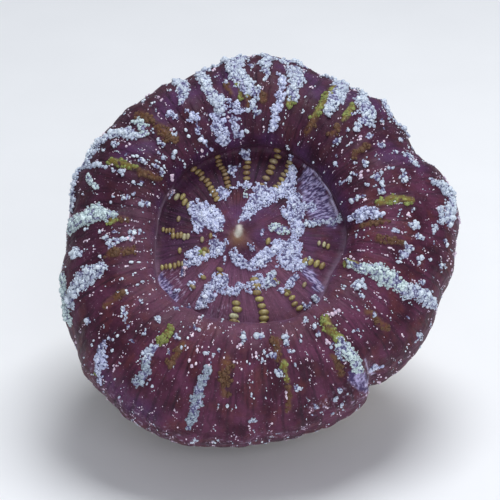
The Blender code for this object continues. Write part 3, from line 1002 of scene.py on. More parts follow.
@dataclass(frozen=True)
class FleshFinish:
    """The living flesh: deep maroon on the ring, more purple on the disc, satin and a little translucent.

    A span is the two values between which a mask rises. A share is how much of a colour is laid over the
    ones below it.
    """

    dark_maroon: Colour = (0.040, 0.006, 0.019)
    light_maroon: Colour = (0.102, 0.025, 0.062)
    clouds: Patches = Patches(4.2, 4.0, 0.33, 0.68)
    red_brown: Colour = (0.096, 0.022, 0.027)
    warmth: Patches = Patches(3.4, 3.0, 0.46, 0.70, (1.0, 1.3, 0.8))
    warm_share: float = 0.75
    disc_purple: Colour = (0.078, 0.026, 0.076)
    disc_patches: Patches = Patches(3.0, 3.0, 0.3, 0.7)
    # Painted light: the disc's lower part is laid over with a paler mauve.
    painted_light_mauve: Colour = (0.190, 0.078, 0.136)
    lower_painted_light_share: float = 0.55
    # Painted shade: the flesh is darkened towards the upper left, from the disc outwards.
    upper_painted_shade_colour: Colour = (0.020, 0.004, 0.014)
    upper_painted_shade_share: float = 0.52
    stain: Colour = (0.078, 0.030, 0.120)
    stain_share: float = 0.45
    # Painted sheen: a pink sheen on the lower lip and crest and along the disc's edge, laid with the real
    # pale lines by the mouth.
    painted_sheen_pink: Colour = (0.180, 0.084, 0.130)
    painted_sheen_share: float = 0.6
    # Painted shade, laid in the grooves, the furrows and the disc's wrinkles.
    shaded_groove: Colour = (0.016, 0.005, 0.014)
    furrow_span: Span = (0.5, 0.34)
    furrow_share: float = 0.42
    wrinkle_span: Span = (0.50, 0.36)
    wrinkle_shares: Span = (0.45, 0.25)
    ribs: float = 66.0
    groove_span: Span = (0.42, 0.04)
    groove_breaks: Patches = Patches(2.2, 2.0, 0.36, 0.56)
    groove_reach: Span = (17.0, 24.0)
    groove_share: float = 0.5
    veil_dark: Colour = (0.050, 0.030, 0.100)
    veil_light: Colour = (0.400, 0.360, 0.600)
    thread_span: Span = (0.40, 0.66)
    haze: Colour = (0.420, 0.330, 0.470)
    wisps: Patches = Patches(2.0, 2.0, 0.35, 0.6)
    wisp_span: Span = (0.50, 0.72)
    haze_share: float = 0.75
    ochre: Colour = (0.135, 0.066, 0.022)
    olive: Colour = (0.150, 0.115, 0.026)
    olive_green: Colour = (0.270, 0.290, 0.085)
    green_patches: Patches = Patches(1.2, 3.0, 0.44, 0.66)
    mottling: Patches = Patches(0.9, 2.0, 0.28, 0.50)
    mouth_brown: Colour = (0.200, 0.105, 0.050)
    mouth_cream: Colour = (0.640, 0.620, 0.560)
    rim: Colour = (0.640, 0.590, 0.840)
    rim_fraying: Patches = Patches(0.7, 3.0, 0.15, 0.6)
    bed_shaded: Colour = (0.075, 0.068, 0.160)
    bed_light: Colour = (0.440, 0.480, 0.640)
    bed_grain: Patches = Patches(0.4, 3.0, 0.43, 0.64)
    bed_fraying: float = 1.2
    bed_span: Span = (0.30, 0.62)
    specks: Colour = (0.380, 0.270, 0.360)
    speck_patches: Patches = Patches(0.30, 1.0, 0.70, 0.76)
    speck_share: float = 0.6
    grit_size: float = 0.42
    grit_dark: Colour = (0.22, 0.22, 0.22)
    grit_light: Colour = (0.85, 0.85, 0.85)
    dull_patches: Patches = Patches(1.2, 3.0, -0.9, 1.5)
    height_shares: tuple[float, ...] = (0.35, 0.3, 0.4, -0.4)
    relief_depth: float = 0.2

    def grooves(self, sheet: NodeSheet) -> Socket:
        """The narrow grooves between the small septa, broken here and there, where painted shade is laid.

        Args:
            sheet: the material's nodes.

        Returns:
            A mask that is 1 in a groove.
        """
        x, y, reach = sheet.node("SeparateXYZ", {0: sheet.stored("grain", "Vector")}).outputs
        angle = sheet.calculated("ARCTAN2", y, x)
        phase = sheet.plus(sheet.times(angle, 0.5 * self.ribs), sheet.times(sheet.speckle(5.0, 2.0), 1.6))
        wave = sheet.node("Math", {0: phase}, operation="COSINE").outputs[0]
        ridge = sheet.node("Math", {0: wave}, operation="ABSOLUTE").outputs[0]
        on_ring = sheet.ramp(reach, *self.groove_reach)
        return sheet.times(sheet.ramp(ridge, *self.groove_span), sheet.patches(self.groove_breaks), on_ring)

    def make(self) -> bpy.types.Material:
        """Makes the material, from the masks that the skin carries.

        Returns:
            The material.
        """
        sheet = NodeSheet("flesh")
        olive, ochre, crust = sheet.masks("growth")
        disc, veil, rim = sheet.masks("tissue")
        fold, brown, cream = sheet.masks("lips")
        upper_painted_shade, lower_painted_light, haze = sheet.masks("painted_light_shade_and_haze")
        stain = sheet.masks("dye")[0]
        lines = sheet.strands(around=1.5, along=0.2, detail=3.0)
        rings = sheet.strands(around=0.5, along=1.6, detail=2.0)
        fibres = sheet.strands(around=1.5, along=1.2, detail=5.0)
        grit = sheet.speckle(self.grit_size, 4.0)
        shaded_groove = self.grooves(sheet)
        # The furrows and grooves fade where the painted sheen lies.
        off_painted_sheen = sheet.plus(sheet.times(fold, -1.2), 1.0)
        furrows = sheet.times(sheet.ramp(lines, *self.furrow_span), off_painted_sheen, self.furrow_share)
        # The disc's wrinkles take more painted shade towards the upper left.
        deeper, shallow = self.wrinkle_shares
        wrinkles = sheet.times(
            sheet.ramp(sheet.strands(around=0.9, along=0.16, detail=1.0), *self.wrinkle_span),
            disc,
            sheet.plus(sheet.times(upper_painted_shade, deeper), shallow),
        )
        hazy = sheet.times(haze, sheet.ramp(fibres, *self.wisp_span), sheet.patches(self.wisps))
        mottled = sheet.patches(self.mottling)
        frayed = sheet.plus(crust, sheet.times(sheet.plus(sheet.speckle(0.5, 3.0), -0.5), self.bed_fraying))
        heights = zip((lines, rings, grit, shaded_groove), self.height_shares)
        colour = sheet.laid(
            sheet.mix(sheet.patches(self.clouds), self.dark_maroon, self.light_maroon),
            (sheet.times(sheet.patches(self.warmth), self.warm_share), self.red_brown),
            (sheet.times(disc, sheet.patches(self.disc_patches)), self.disc_purple),
            (sheet.times(lower_painted_light, self.lower_painted_light_share), self.painted_light_mauve),
            (sheet.times(upper_painted_shade, self.upper_painted_shade_share), self.upper_painted_shade_colour),
            (sheet.times(stain, self.stain_share), self.stain),
            (sheet.times(fold, self.painted_sheen_share), self.painted_sheen_pink),
            (furrows, self.shaded_groove),
            (wrinkles, self.shaded_groove),
            (sheet.times(shaded_groove, off_painted_sheen, self.groove_share), self.shaded_groove),
            (veil, sheet.mix(sheet.ramp(fibres, *self.thread_span), self.veil_dark, self.veil_light)),
            (sheet.times(hazy, self.haze_share), self.haze),
            (sheet.times(ochre, mottled), self.ochre),
            (
                sheet.times(olive, mottled),
                sheet.mix(sheet.patches(self.green_patches), self.olive, self.olive_green),
            ),
            (brown, self.mouth_brown),
            (cream, self.mouth_cream),
            (sheet.times(rim, sheet.patches(self.rim_fraying)), self.rim),
            (
                sheet.ramp(frayed, *self.bed_span),
                sheet.mix(sheet.patches(self.bed_grain), self.bed_shaded, self.bed_light),
            ),
            (sheet.times(sheet.patches(self.speck_patches), self.speck_share), self.specks),
        )
        sheet.finish(
            sheet.mix(0.5, colour, sheet.mix(grit, self.grit_dark, self.grit_light), "SOFT_LIGHT"),
            sheet.patches(self.dull_patches),
            sheet.plus(*(sheet.times(mask, share) for mask, share in heights)),
            self.relief_depth,
            Specular_IOR_Level=0.2,
            Subsurface_Weight=0.08,
            Subsurface_Radius=(1.0, 0.35, 0.45),
            Subsurface_Scale=0.6 * MM,
            Sheen_Weight=0.05,
            Sheen_Roughness=0.45,
            Sheen_Tint=(1.0, 0.72, 0.88, 1.0),
        )
        return sheet.material


@dataclass(frozen=True)
class CrustFinish:
    """The crust and the grains: matt and chalky, each grain with its own tint and with darker pores of
    painted shade.
    """

    shade: Colour = (0.50, 0.52, 0.62)
    pore_size: float = 0.16
    pore_span: Span = (0.55, 0.35)
    rough: float = 0.7
    pore_depth: float = 0.08

    def make(self) -> bpy.types.Material:
        """Makes the material, from the colour that each grain carries.

        Returns:
            The material.
        """
        sheet = NodeSheet("crust")
        fine = sheet.speckle(self.pore_size, 3.0)
        colour = sheet.mix(sheet.ramp(fine, *self.pore_span), sheet.stored("tint"), self.shade, "MULTIPLY")
        sheet.finish(
            colour,
            self.rough,
            fine,
            self.pore_depth,
            Specular_IOR_Level=0.35,
            Subsurface_Weight=0.1,
            Subsurface_Radius=(1.0, 1.0, 1.0),
            Subsurface_Scale=0.3 * MM,
        )
        return sheet.material


@dataclass(frozen=True)
class BeadFinish:
    """The beads: olive to yellow on top, with painted shade that browns their feet, mottled brown, smooth
    and moist.
    """

    foot: Colour = (0.085, 0.045, 0.020)
    mottle_size: float = 0.5
    mottle_span: Span = (0.62, 0.35)
    mottle_share: float = 0.4
    rough: float = 0.4
    mottle_depth: float = 0.05

    def make(self) -> bpy.types.Material:
        """Makes the material, from the colour that each bead carries.

        Returns:
            The material.
        """
        sheet = NodeSheet("beads")
        fine = sheet.speckle(self.mottle_size, 2.0)
        share = sheet.times(sheet.ramp(fine, *self.mottle_span), self.mottle_share)
        sheet.finish(
            sheet.mix(share, sheet.stored("tint"), self.foot),
            self.rough,
            fine,
            self.mottle_depth,
            Specular_IOR_Level=0.5,
            Subsurface_Weight=0.1,
            Subsurface_Radius=(1.0, 0.7, 0.3),
            Subsurface_Scale=0.4 * MM,
        )
        return sheet.material


@dataclass(frozen=True)
class StoneFinish:
    """The stony stalk: cream aragonite, browned in its grooves, with rosy and green patches of growth."""

    cream: Colour = (0.58, 0.50, 0.38)
    rosy: Colour = (0.40, 0.26, 0.30)
    rosy_patches: Patches = Patches(6.0, 5.0, 0.48, 0.75)
    green: Colour = (0.20, 0.22, 0.11)
    green_patches: Patches = Patches(4.6, 4.0, 0.56, 0.70)
    brown: Colour = (0.20, 0.14, 0.09)
    groove_share: float = 0.75
    pore_size: float = 0.6
    pore_span: Span = (0.5, 0.3)
    pore_share: float = 0.7
    rough: float = 0.85
    pore_depth: float = 0.3

    def make(self) -> bpy.types.Material:
        """Makes the material, from the mask of the browner grooves that the stalk carries.

        Returns:
            The material.
        """
        sheet = NodeSheet("stony_wall")
        pores = sheet.speckle(self.pore_size, 5.0)
        colour = sheet.laid(
            self.cream,
            (sheet.patches(self.rosy_patches), self.rosy),
            (sheet.patches(self.green_patches), self.green),
            (sheet.times(sheet.masks("groove_brown")[0], self.groove_share), self.brown),
            (sheet.times(sheet.ramp(pores, *self.pore_span), self.pore_share), self.brown),
        )
        sheet.finish(colour, self.rough, pores, self.pore_depth, Specular_IOR_Level=0.3)
        return sheet.material


@dataclass(frozen=True)
class FloorFinish:
    """The plain pale floor."""

    pale: Colour = (0.84, 0.85, 0.87)
    paler: Colour = (0.90, 0.91, 0.93)
    cloud_size: float = 30.0
    rough: float = 0.9
    cloud_depth: float = 0.02

    def make(self) -> bpy.types.Material:
        """Makes the material.

        Returns:
            The material.
        """
        sheet = NodeSheet("pale_floor")
        clouds = sheet.speckle(self.cloud_size, 2.0)
        sheet.finish(sheet.mix(clouds, self.pale, self.paler), self.rough, clouds, self.cloud_depth)
        return sheet.material


@dataclass
class Skin:
    """The living skin, from the mouth over the disc and the ring to the folded edge on the stalk.

    Lengths are in mm. A span is the two values between which a mask rises, a hump is the reach of its
    middle and its half width, and a blur is how far the edge of a growth is blurred.
    """

    form: PolypForm
    turns: int = 560
    stretches: tuple[tuple[float, int], ...] = ((17.3, 45), (20.0, 10), (48.0, 74), (61.0, 21), (67.6, 13))
    inner_radius: float = 21.0
    inner_height: float = -19.0
    flow_radius: float = 32.0
    crust_lift: float = 0.32
    streak_lift: float = 0.3
    lump_size: float = 0.9
    lump_share: float = 0.9
    narrow_fraying: float = 0.3
    crust_span: Span = (-0.15, 0.3)
    olive_blur: float = 0.4
    ochre_blur: float = 0.8
    ochre_share: float = 0.75
    veil_blur: float = 0.25
    haze_blur: float = 0.7
    stain_blur: float = 0.9
    line_blur: float = 0.9
    rim_blur: float = 0.5
    rim_share: float = 0.9
    seam_rim_share: float = 0.13
    seam_rim_reach: Span = (8.0, 12.0)
    # The lip and the crest on the lower side get painted sheen.
    lower_turn: float = 0.35
    lower_span: Span = (0.3, -0.6)
    lip_sheen_hump: Span = (18.6, 1.3)
    crest_hump: Span = (22.5, 4.5)
    painted_sheen_shares: tuple[float, ...] = (0.6, 0.6, 0.75)
    disc_reach: Span = (15.5, 20.0)
    # Where the painted shade towards the upper left lies.
    upper_painted_shade_reach: Span = (5.0, 12.0)
    upper_painted_shade_span: Span = (-0.5, 0.6)
    upper_painted_shade_slant: float = 0.35
    # Where the painted light on the disc's lower part lies.
    lower_painted_light_band: Band = (3.0, 9.0, 15.0, 18.0)
    lower_painted_light_span: Span = (0.0, -0.8)
    brown_share: float = 0.8
    brown_radius: float = 1.5
    brown_offset: Span = (0.1, -0.5)

    def reaches(self) -> np.ndarray:
        """Works out the rings of vertices, closer together where the skin bends more.

        Returns:
            The reach of each ring.
        """
        reaches, start = [], 0.0
        for end, count in self.stretches:
            reaches.extend(start + (end - start) * (step + 1) / count for step in range(count))
            start = end
        return np.array(reaches)

    def grown(self, points: np.ndarray, runs: tuple[Streak, ...], kind: Enum, blur: float) -> np.ndarray:
        """A mask from 0 to 1 of where one kind of growth is, with its edge blurred."""
        chosen = tuple(run for run in runs if run.kind is kind)
        return smooth(-blur, blur, self.form.cover(points, chosen))

    def masks(self, points: np.ndarray, angle: np.ndarray, reach: np.ndarray) -> dict[str, np.ndarray]:
        """What grows or shows where.

        Args:
            points: the skin's points without relief, in face coordinates.
            angle: their angles.
            reach: their reaches.

        Returns:
            A mask from 0 to 1 for each growth or tissue, and for the painted light and shade.
        """
        frayed = ragged(points)
        slightly = points + self.narrow_fraying * (frayed - points)
        # Painted sheen on the lower lip and crest and along the disc's edge seams; the seams by the mouth
        # are real pale lines.
        seam = self.grown(points, SEAMS, Growth.LINE, self.line_blur)
        lower = smooth(*self.lower_span, np.sin(angle + self.lower_turn))
        lip_sheen = hump(reach, *self.lip_sheen_hump) * lower
        crest = hump(reach, *self.crest_hump) * lower
        fold = sum(share * mask for share, mask in zip(self.painted_sheen_shares, (lip_sheen, crest, seam)))
        # The disc's edge seams add a little painted sheen to the rim.
        seam_rim = self.seam_rim_share * seam * smooth(*self.seam_rim_reach, reach)
        rim = self.rim_share * self.grown(slightly, RIMS, Growth.LINE, self.rim_blur)
        upper_left = np.sin(angle) - self.upper_painted_shade_slant * np.cos(angle)
        brown_middle = np.array(self.form.mouth_offset) + np.array(self.brown_offset)
        from_mouth = np.linalg.norm(points[..., :2] - brown_middle, axis=-1)
        return {
            "olive": self.grown(slightly, OLIVE_STREAKS, Tone.OLIVE, self.olive_blur),
            "ochre": self.ochre_share * self.grown(slightly, OLIVE_STREAKS, Tone.OCHRE, self.ochre_blur),
            "crust": smooth(*self.crust_span, self.form.cover(frayed, ALL_CRUST)),
            "disc": 1.0 - smooth(*self.disc_reach, reach),
            "veil": self.grown(frayed, VEILS, Growth.VEIL, self.veil_blur),
            "haze": self.grown(frayed, VEILS, Growth.FAINT_VEIL, self.haze_blur),
            "stain": self.grown(frayed, VEILS, Growth.STAIN, self.stain_blur),
            "rim": np.maximum(rim, seam_rim),
            # painted shade, darker towards the upper left
            "upper_painted_shade": smooth(*self.upper_painted_shade_reach, reach) * smooth(*self.upper_painted_shade_span, upper_left),
            # painted light, paler on the disc's lower part
            "lower_painted_light": within(self.lower_painted_light_band, reach) * smooth(*self.lower_painted_light_span, np.sin(angle)),
            "fold": np.clip(fold, 0.0, 1.0),
            "brown": self.brown_share * hump(from_mouth, 0.0, self.brown_radius),
            "cream": self.grown(points, MOUTH_SLIT, Growth.LINE, self.line_blur),
        }

    def build(self) -> bpy.types.Object:
        """Builds the skin with its masks.

        Returns:
            The skin.
        """
        reach, angle = grid(self.reaches(), self.turns)
        points = self.form.on_face(angle, reach)
        masks = self.masks(points, angle, reach)
        lump = 1.0 + self.lump_share * roughness(points, self.lump_size, 20.0)
        lift = self.crust_lift * masks["crust"] * lump
        lift += self.streak_lift * np.maximum(masks["olive"], masks["ochre"]) * lump
        skin = self.form.skin(angle, reach, lift)
        seam = circle(self.inner_radius, angle[0], self.inner_height)
        ends = np.array([[*self.form.mouth_offset, self.form.profile[0][1]], [0.0, 0.0, self.inner_height]])
        vertices = self.form.placed(np.concatenate((skin.reshape(-1, 3), seam, ends)))
        piece = new_object("skin", vertices * MM, lathe_faces(len(reach) + 1, self.turns))
        self.store(piece, masks, circle(self.flow_radius, angle, reach))
        piece.data.materials.append(FleshFinish().make())
        return piece

    def store(self, piece: bpy.types.Object, masks: dict[str, np.ndarray], flow: np.ndarray) -> None:
        """Stores the masks, and the coordinates that the wrinkles follow, on the skin's vertices.

        Args:
            piece: the skin.
            masks: the masks of its rings.
            flow: the coordinates of its rings.
        """
        count, on_rings = len(piece.data.vertices), flow.size // 3
        for name, members in MASK_GROUPS.items():
            values = np.zeros((count, 3))
            for channel, member in enumerate(members):
                values[:on_rings, channel] = masks[member].ravel()
            values[-2] = values[0]
            paint(piece, name, values)
        grain = np.zeros((count, 3), np.float32)
        grain[:on_rings] = flow.reshape(-1, 3)
        layer = piece.data.attributes.new("grain", "FLOAT_VECTOR", "POINT")
        layer.data.foreach_set("vector", grain.ravel())


@dataclass
class StonyStalk:
    """The stony stalk under the flesh, ribbed by its costae and cut off flat.

    Lengths are in mm.
    """

    form: PolypForm
    turns: int = 528
    rings: int = 56
    first_reach: float = 68.2
    whole_reach: float = 70.5
    collar_radius: float = 21.5
    collar_height: float = -18.6
    rib_height: float = 0.5
    rib_wander: float = 0.25
    rib_foot: float = 0.35
    tooth_pitch: float = 1.9
    tooth_wander: float = 5.0
    tooth_shares: Span = (0.75, 0.35)
    pit_size: float = 0.8
    pit_height: float = 0.12
    swell_size: float = 6.0
    swell_height: float = 0.25
    groove_brown_span: Span = (0.35, 0.85)

    def build(self) -> bpy.types.Object:
        """Builds the stalk.

        Returns:
            The stalk.
        """
        form = self.form
        reach, angle = grid(np.linspace(self.first_reach, form.end, self.rings), self.turns)
        points = form.on_face(angle, reach)
        wander = roughness(points, self.swell_size)
        ridge = np.abs(np.cos(0.5 * form.ribs * angle + self.rib_wander * wander)) ** 0.7
        phase = TURN * reach / self.tooth_pitch + self.tooth_wander * roughness(points, 9.0, 70.0)
        least, toothed = self.tooth_shares
        height = self.rib_height * (ridge - self.rib_foot) * (least + toothed * (0.5 + 0.5 * np.cos(phase)))
        pits = self.pit_height * roughness(points, self.pit_size, 30.0)
        height = height + pits + self.swell_height * wander
        height = height * smooth(self.first_reach, self.whole_reach, reach)
        wall = form.placed(points + form.face_normal(angle, reach) * height[..., None])
        collar = form.placed(circle(self.collar_radius, angle[0], self.collar_height))
        ends = form.placed(np.array([[0.0, 0.0, self.collar_height], [0.0, 0.0, form.base_height]]))
        wall[-1, :, 2] = 0.0
        ends[1, 2] = 0.0
        vertices = np.concatenate((collar, wall.reshape(-1, 3), ends))
        piece = new_object("stony_stalk", vertices * MM, lathe_faces(self.rings + 1, self.turns))
        groove_brown = np.zeros((len(vertices), 3))
        # The grooves between the costae are browner.
        groove_brown[self.turns : -2, 0] = (1.0 - smooth(*self.groove_brown_span, ridge)).ravel()
        paint(piece, "groove_brown", groove_brown)
        piece.data.materials.append(StoneFinish().make())
        return piece


@dataclass(frozen=True)
class Lump:
    """A small rounded lump.

    Args:
        angle: its angle.
        reach: its reach, in mm.
        half_width: half its width, in mm.
        lift: how far its middle lies over the skin, in mm.
        tint: its colour.
        sizes: its width around, along and out of the skin, against half_width.
    """

    angle: float
    reach: float
    half_width: float
    lift: float
    tint: Colour
    sizes: Triple


@dataclass
class Lumps:
    """Many lumps, gathered first and then built as one mesh.

    Args:
        form: the coral's form.
        rng: the random numbers.
        gathered: the lumps.
        plain_below: half the width of the smallest lump that isn't built more plainly, in mm.
        least_spun_jag: how uneven lumps are at least if each is turned its own way.
        foot: the colour that a lump's tint is multiplied by at its foot, a painted shade.
        dark_height: the height from a lump's middle where the painted shade is deepest, against its half
            height.
        lit_height: the height where it has its own tint.
        most_jag: the largest bump, against the usual one.
    """

    form: PolypForm
    rng: np.random.Generator
    gathered: list[Lump] = field(default_factory=list)
    plain_below: float = 0.21
    least_spun_jag: float = 0.1
    foot: Colour = (0.62, 0.62, 0.74)
    dark_height: float = -0.8
    lit_height: float = 0.4
    most_jag: float = 1.6

    def ball(self, fineness: int) -> tuple[np.ndarray, np.ndarray]:
        """A unit ball.

        Args:
            fineness: how finely it is divided.

        Returns:
            Its corners, and its faces as corner numbers.
        """
        shape = bmesh.new()
        bmesh.ops.create_icosphere(shape, subdivisions=fineness, radius=1.0)
        corners = np.array([vert.co for vert in shape.verts])
        sides = np.array([[vert.index for vert in side.verts] for side in shape.faces])
        shape.free()
        return corners, sides

    def frames(self, angle: np.ndarray, reach: np.ndarray) -> np.ndarray:
        """The directions around, along and out of the skin at each lump.

        Args:
            angle: their angles.
            reach: their reaches, in mm.

        Returns:
            Three unit vectors for each.
        """
        around, along = self.form.slopes(angle, reach, True)
        around = unit(around)
        out = unit(np.cross(along, around))
        return np.stack((around, unit(np.cross(around, out)), out), axis=1)

    def shaped(self, lumps: list[Lump], corners: np.ndarray, jag: float) -> tuple[np.ndarray, np.ndarray]:
        """The corners of lumps and their colours, with painted shade that darkens each lump's foot.

        Args:
            lumps: the lumps.
            corners: the corners of a unit ball.
            jag: how uneven each lump is.

        Returns:
            The corners of each lump, in mm, and the colour of each.
        """
        count = len(lumps)
        places = np.array([(lump.angle, lump.reach, lump.half_width, lump.lift) for lump in lumps])
        angle, reach, half_width, lift = places.T
        middle = self.form.placed(self.form.skin(angle, reach, lift))
        scales = np.array([lump.sizes for lump in lumps]) * half_width[:, None]
        bumps = self.rng.standard_normal((count, len(corners), 1))
        bumps = 1.0 + jag * bumps.clip(-self.most_jag, self.most_jag)
        spin = np.broadcast_to(np.eye(3), (count, 3, 3))
        if jag > self.least_spun_jag:
            spin = np.linalg.qr(self.rng.standard_normal((count, 3, 3)))[0]
            spin = spin * np.sign(np.linalg.det(spin))[:, None, None]
        turned = np.einsum("vk,nkj->nvj", corners, spin) * bumps
        # Painted shade: each lump is darker towards its foot.
        lit = smooth(self.dark_height, self.lit_height, turned[..., 2:])
        own_tints = np.array([lump.tint for lump in lumps])[:, None, :]
        tints = own_tints * (np.array(self.foot) * (1.0 - lit) + lit)
        local = np.einsum("nvk,nkj->nvj", turned * scales[:, None, :], self.frames(angle, reach))
        return middle[:, None, :] + local, tints

    def build(
        self, name: str, finish: bpy.types.Material, fineness: int = 2, jag: float = 0.13
    ) -> bpy.types.Object:
        """Builds every lump gathered so far as one mesh, the smallest ones more plainly.

        Args:
            name: the piece's name.
            finish: its material.
            fineness: how finely each lump is divided.
            jag: how uneven each lump is.

        Returns:
            The piece.
        """
        plain = [lump for lump in self.gathered if lump.half_width < self.plain_below]
        fine = [lump for lump in self.gathered if lump.half_width >= self.plain_below]
        vertices, faces, tints, start = [], [], [], 0
        for lumps, level in ((plain, fineness - 1), (fine, fineness)):
            if not lumps:
                continue
            corners, sides = self.ball(level)
            shaped, tinted = self.shaped(lumps, corners, jag)
            vertices.append(shaped.reshape(-1, 3))
            tints.append(tinted.reshape(-1, 3))
            firsts = start + np.arange(len(lumps)) * len(corners)
            faces.append((sides[None] + firsts[:, None, None]).reshape(-1, 3))
            start += len(vertices[-1])
        piece = new_object(name, np.concatenate(vertices) * MM, np.concatenate(faces).tolist())
        paint(piece, "tint", np.concatenate(tints))
        piece.data.materials.append(finish)
        return piece


@dataclass
class Crust:
    """A crust: lumps of all sizes packed side by side over each streak, in ragged heaps.

    Args:
        form: the coral's form.
        rng: the random numbers.
        size: half the width of a large lump, in mm.
        packing: how far apart lumps are, against half their width.
        tries: how many places are tried for each lump that would fit.
        edge: how far outside a streak's edge lumps still are, as its cover.
        smallest: half the width of the smallest lump, in mm.
        fewer_large: how much rarer large lumps are than small ones.
        overhang: how far outside a streak's edge places are tried, in mm.
        unevenness: how unevenly the edge ends, as its cover.
        heap: how high the heaps are, in mm.
        heap_sizes: the sizes of the large and the small heaps, in mm.
        gap_below: the roughness below which the crust has a gap.
        tint_shares: how far a lump goes from its painted shaded colour to its painted lit one at least, for
            each mm of its height and by chance.
        stretch: the range of a lump's width each way, against its half width.
        taken: the places of the lumps so far, by the cell that each is in.
    """

    form: PolypForm
    rng: np.random.Generator
    size: float = 0.5
    packing: float = 1.12
    tries: int = 16
    edge: float = -0.14
    smallest: float = 0.14
    fewer_large: float = 1.3
    overhang: float = 0.9
    unevenness: float = 0.1
    heap: float = 0.75
    heap_sizes: Span = (1.5, 0.7)
    gap_below: float = -0.42
    tint_shares: Triple = (0.25, 0.7, 0.35)
    stretch: Span = (0.75, 1.35)
    taken: dict[tuple[int, ...], list[tuple[float, ...]]] = field(default_factory=dict)

    def candidates(self, run: Streak) -> np.ndarray:
        """Places where a lump of a streak could be.

        Args:
            run: the streak.

        Returns:
            The angle and the reach of each.
        """
        angle, reach, width = self.form.stations(run)
        places = self.form.on_face(angle, reach)
        length = float(np.linalg.norm(np.diff(places, axis=0), axis=1).sum())
        area = length * width.mean() + 0.8 * width.mean() ** 2
        count = int(self.tries * area / (self.packing * self.size) ** 2) + 12
        at = self.rng.integers(0, len(angle), count)
        way = self.rng.uniform(0.0, TURN, count)
        off = (0.5 * width[at] + self.overhang) * np.sqrt(self.rng.uniform(0.0, 1.0, count))
        radius = np.maximum(np.hypot(places[at, 0], places[at, 1]), 1.5)
        around = angle[at] + off * np.cos(way) / radius
        return np.stack((around, np.maximum(reach[at] + off * np.sin(way), 1.0)), axis=1)

    def takes(self, point: np.ndarray, gap: float) -> bool:
        """Takes a point unless a lump stands within a gap of it.

        Args:
            point: the point, in face coordinates.
            gap: the gap, in mm.

        Returns:
            Whether the point was free.
        """
        key = tuple(np.floor(point / (1.5 * self.size)).astype(int))
        for way in np.ndindex(3, 3, 3):
            cell = tuple(part + step - 1 for part, step in zip(key, way))
            if any(math.dist(point, other) < gap for other in self.taken.get(cell, ())):
                return False
        self.taken.setdefault(key, []).append(tuple(point))
        return True

    def gather(self, lumps: Lumps, runs: tuple[Streak, ...]) -> None:
        """Packs lumps over streaks.

        Args:
            lumps: where they are gathered.
            runs: the streaks.
        """
        large_heaps, small_heaps = self.heap_sizes
        least, by_height, by_chance = self.tint_shares
        for run in runs:
            made = self.candidates(run)
            points = self.form.on_face(made[:, 0], made[:, 1])
            depths = self.form.cover(ragged(points), (run,))
            heaps = roughness(points, large_heaps, 15.0) + 0.5 * roughness(points, small_heaps, 25.0)
            for place, point, depth, heap in zip(made, points, depths, heaps):
                edge = self.edge + self.unevenness * self.rng.standard_normal()
                if depth < edge or heap < self.gap_below:
                    continue
                inner = min(1.0, max(0.3, 0.6 + depth)) * self.rng.uniform() ** self.fewer_large
                half = self.smallest + (self.size - self.smallest) * inner
                if not self.takes(point, self.packing * half):
                    continue
                height = self.heap * min(1.0, max(0.0, depth)) ** 0.5 * (heap - self.gap_below)
                # Taller lumps take more of their tone's painted lit colour.
                tint = run.kind.tint(least + by_height * height + by_chance * self.rng.uniform())
                sizes = tuple(self.rng.uniform(*self.stretch, 3))
                lumps.gathered.append(Lump(*place, half, 0.1 * half + height, tint, sizes))


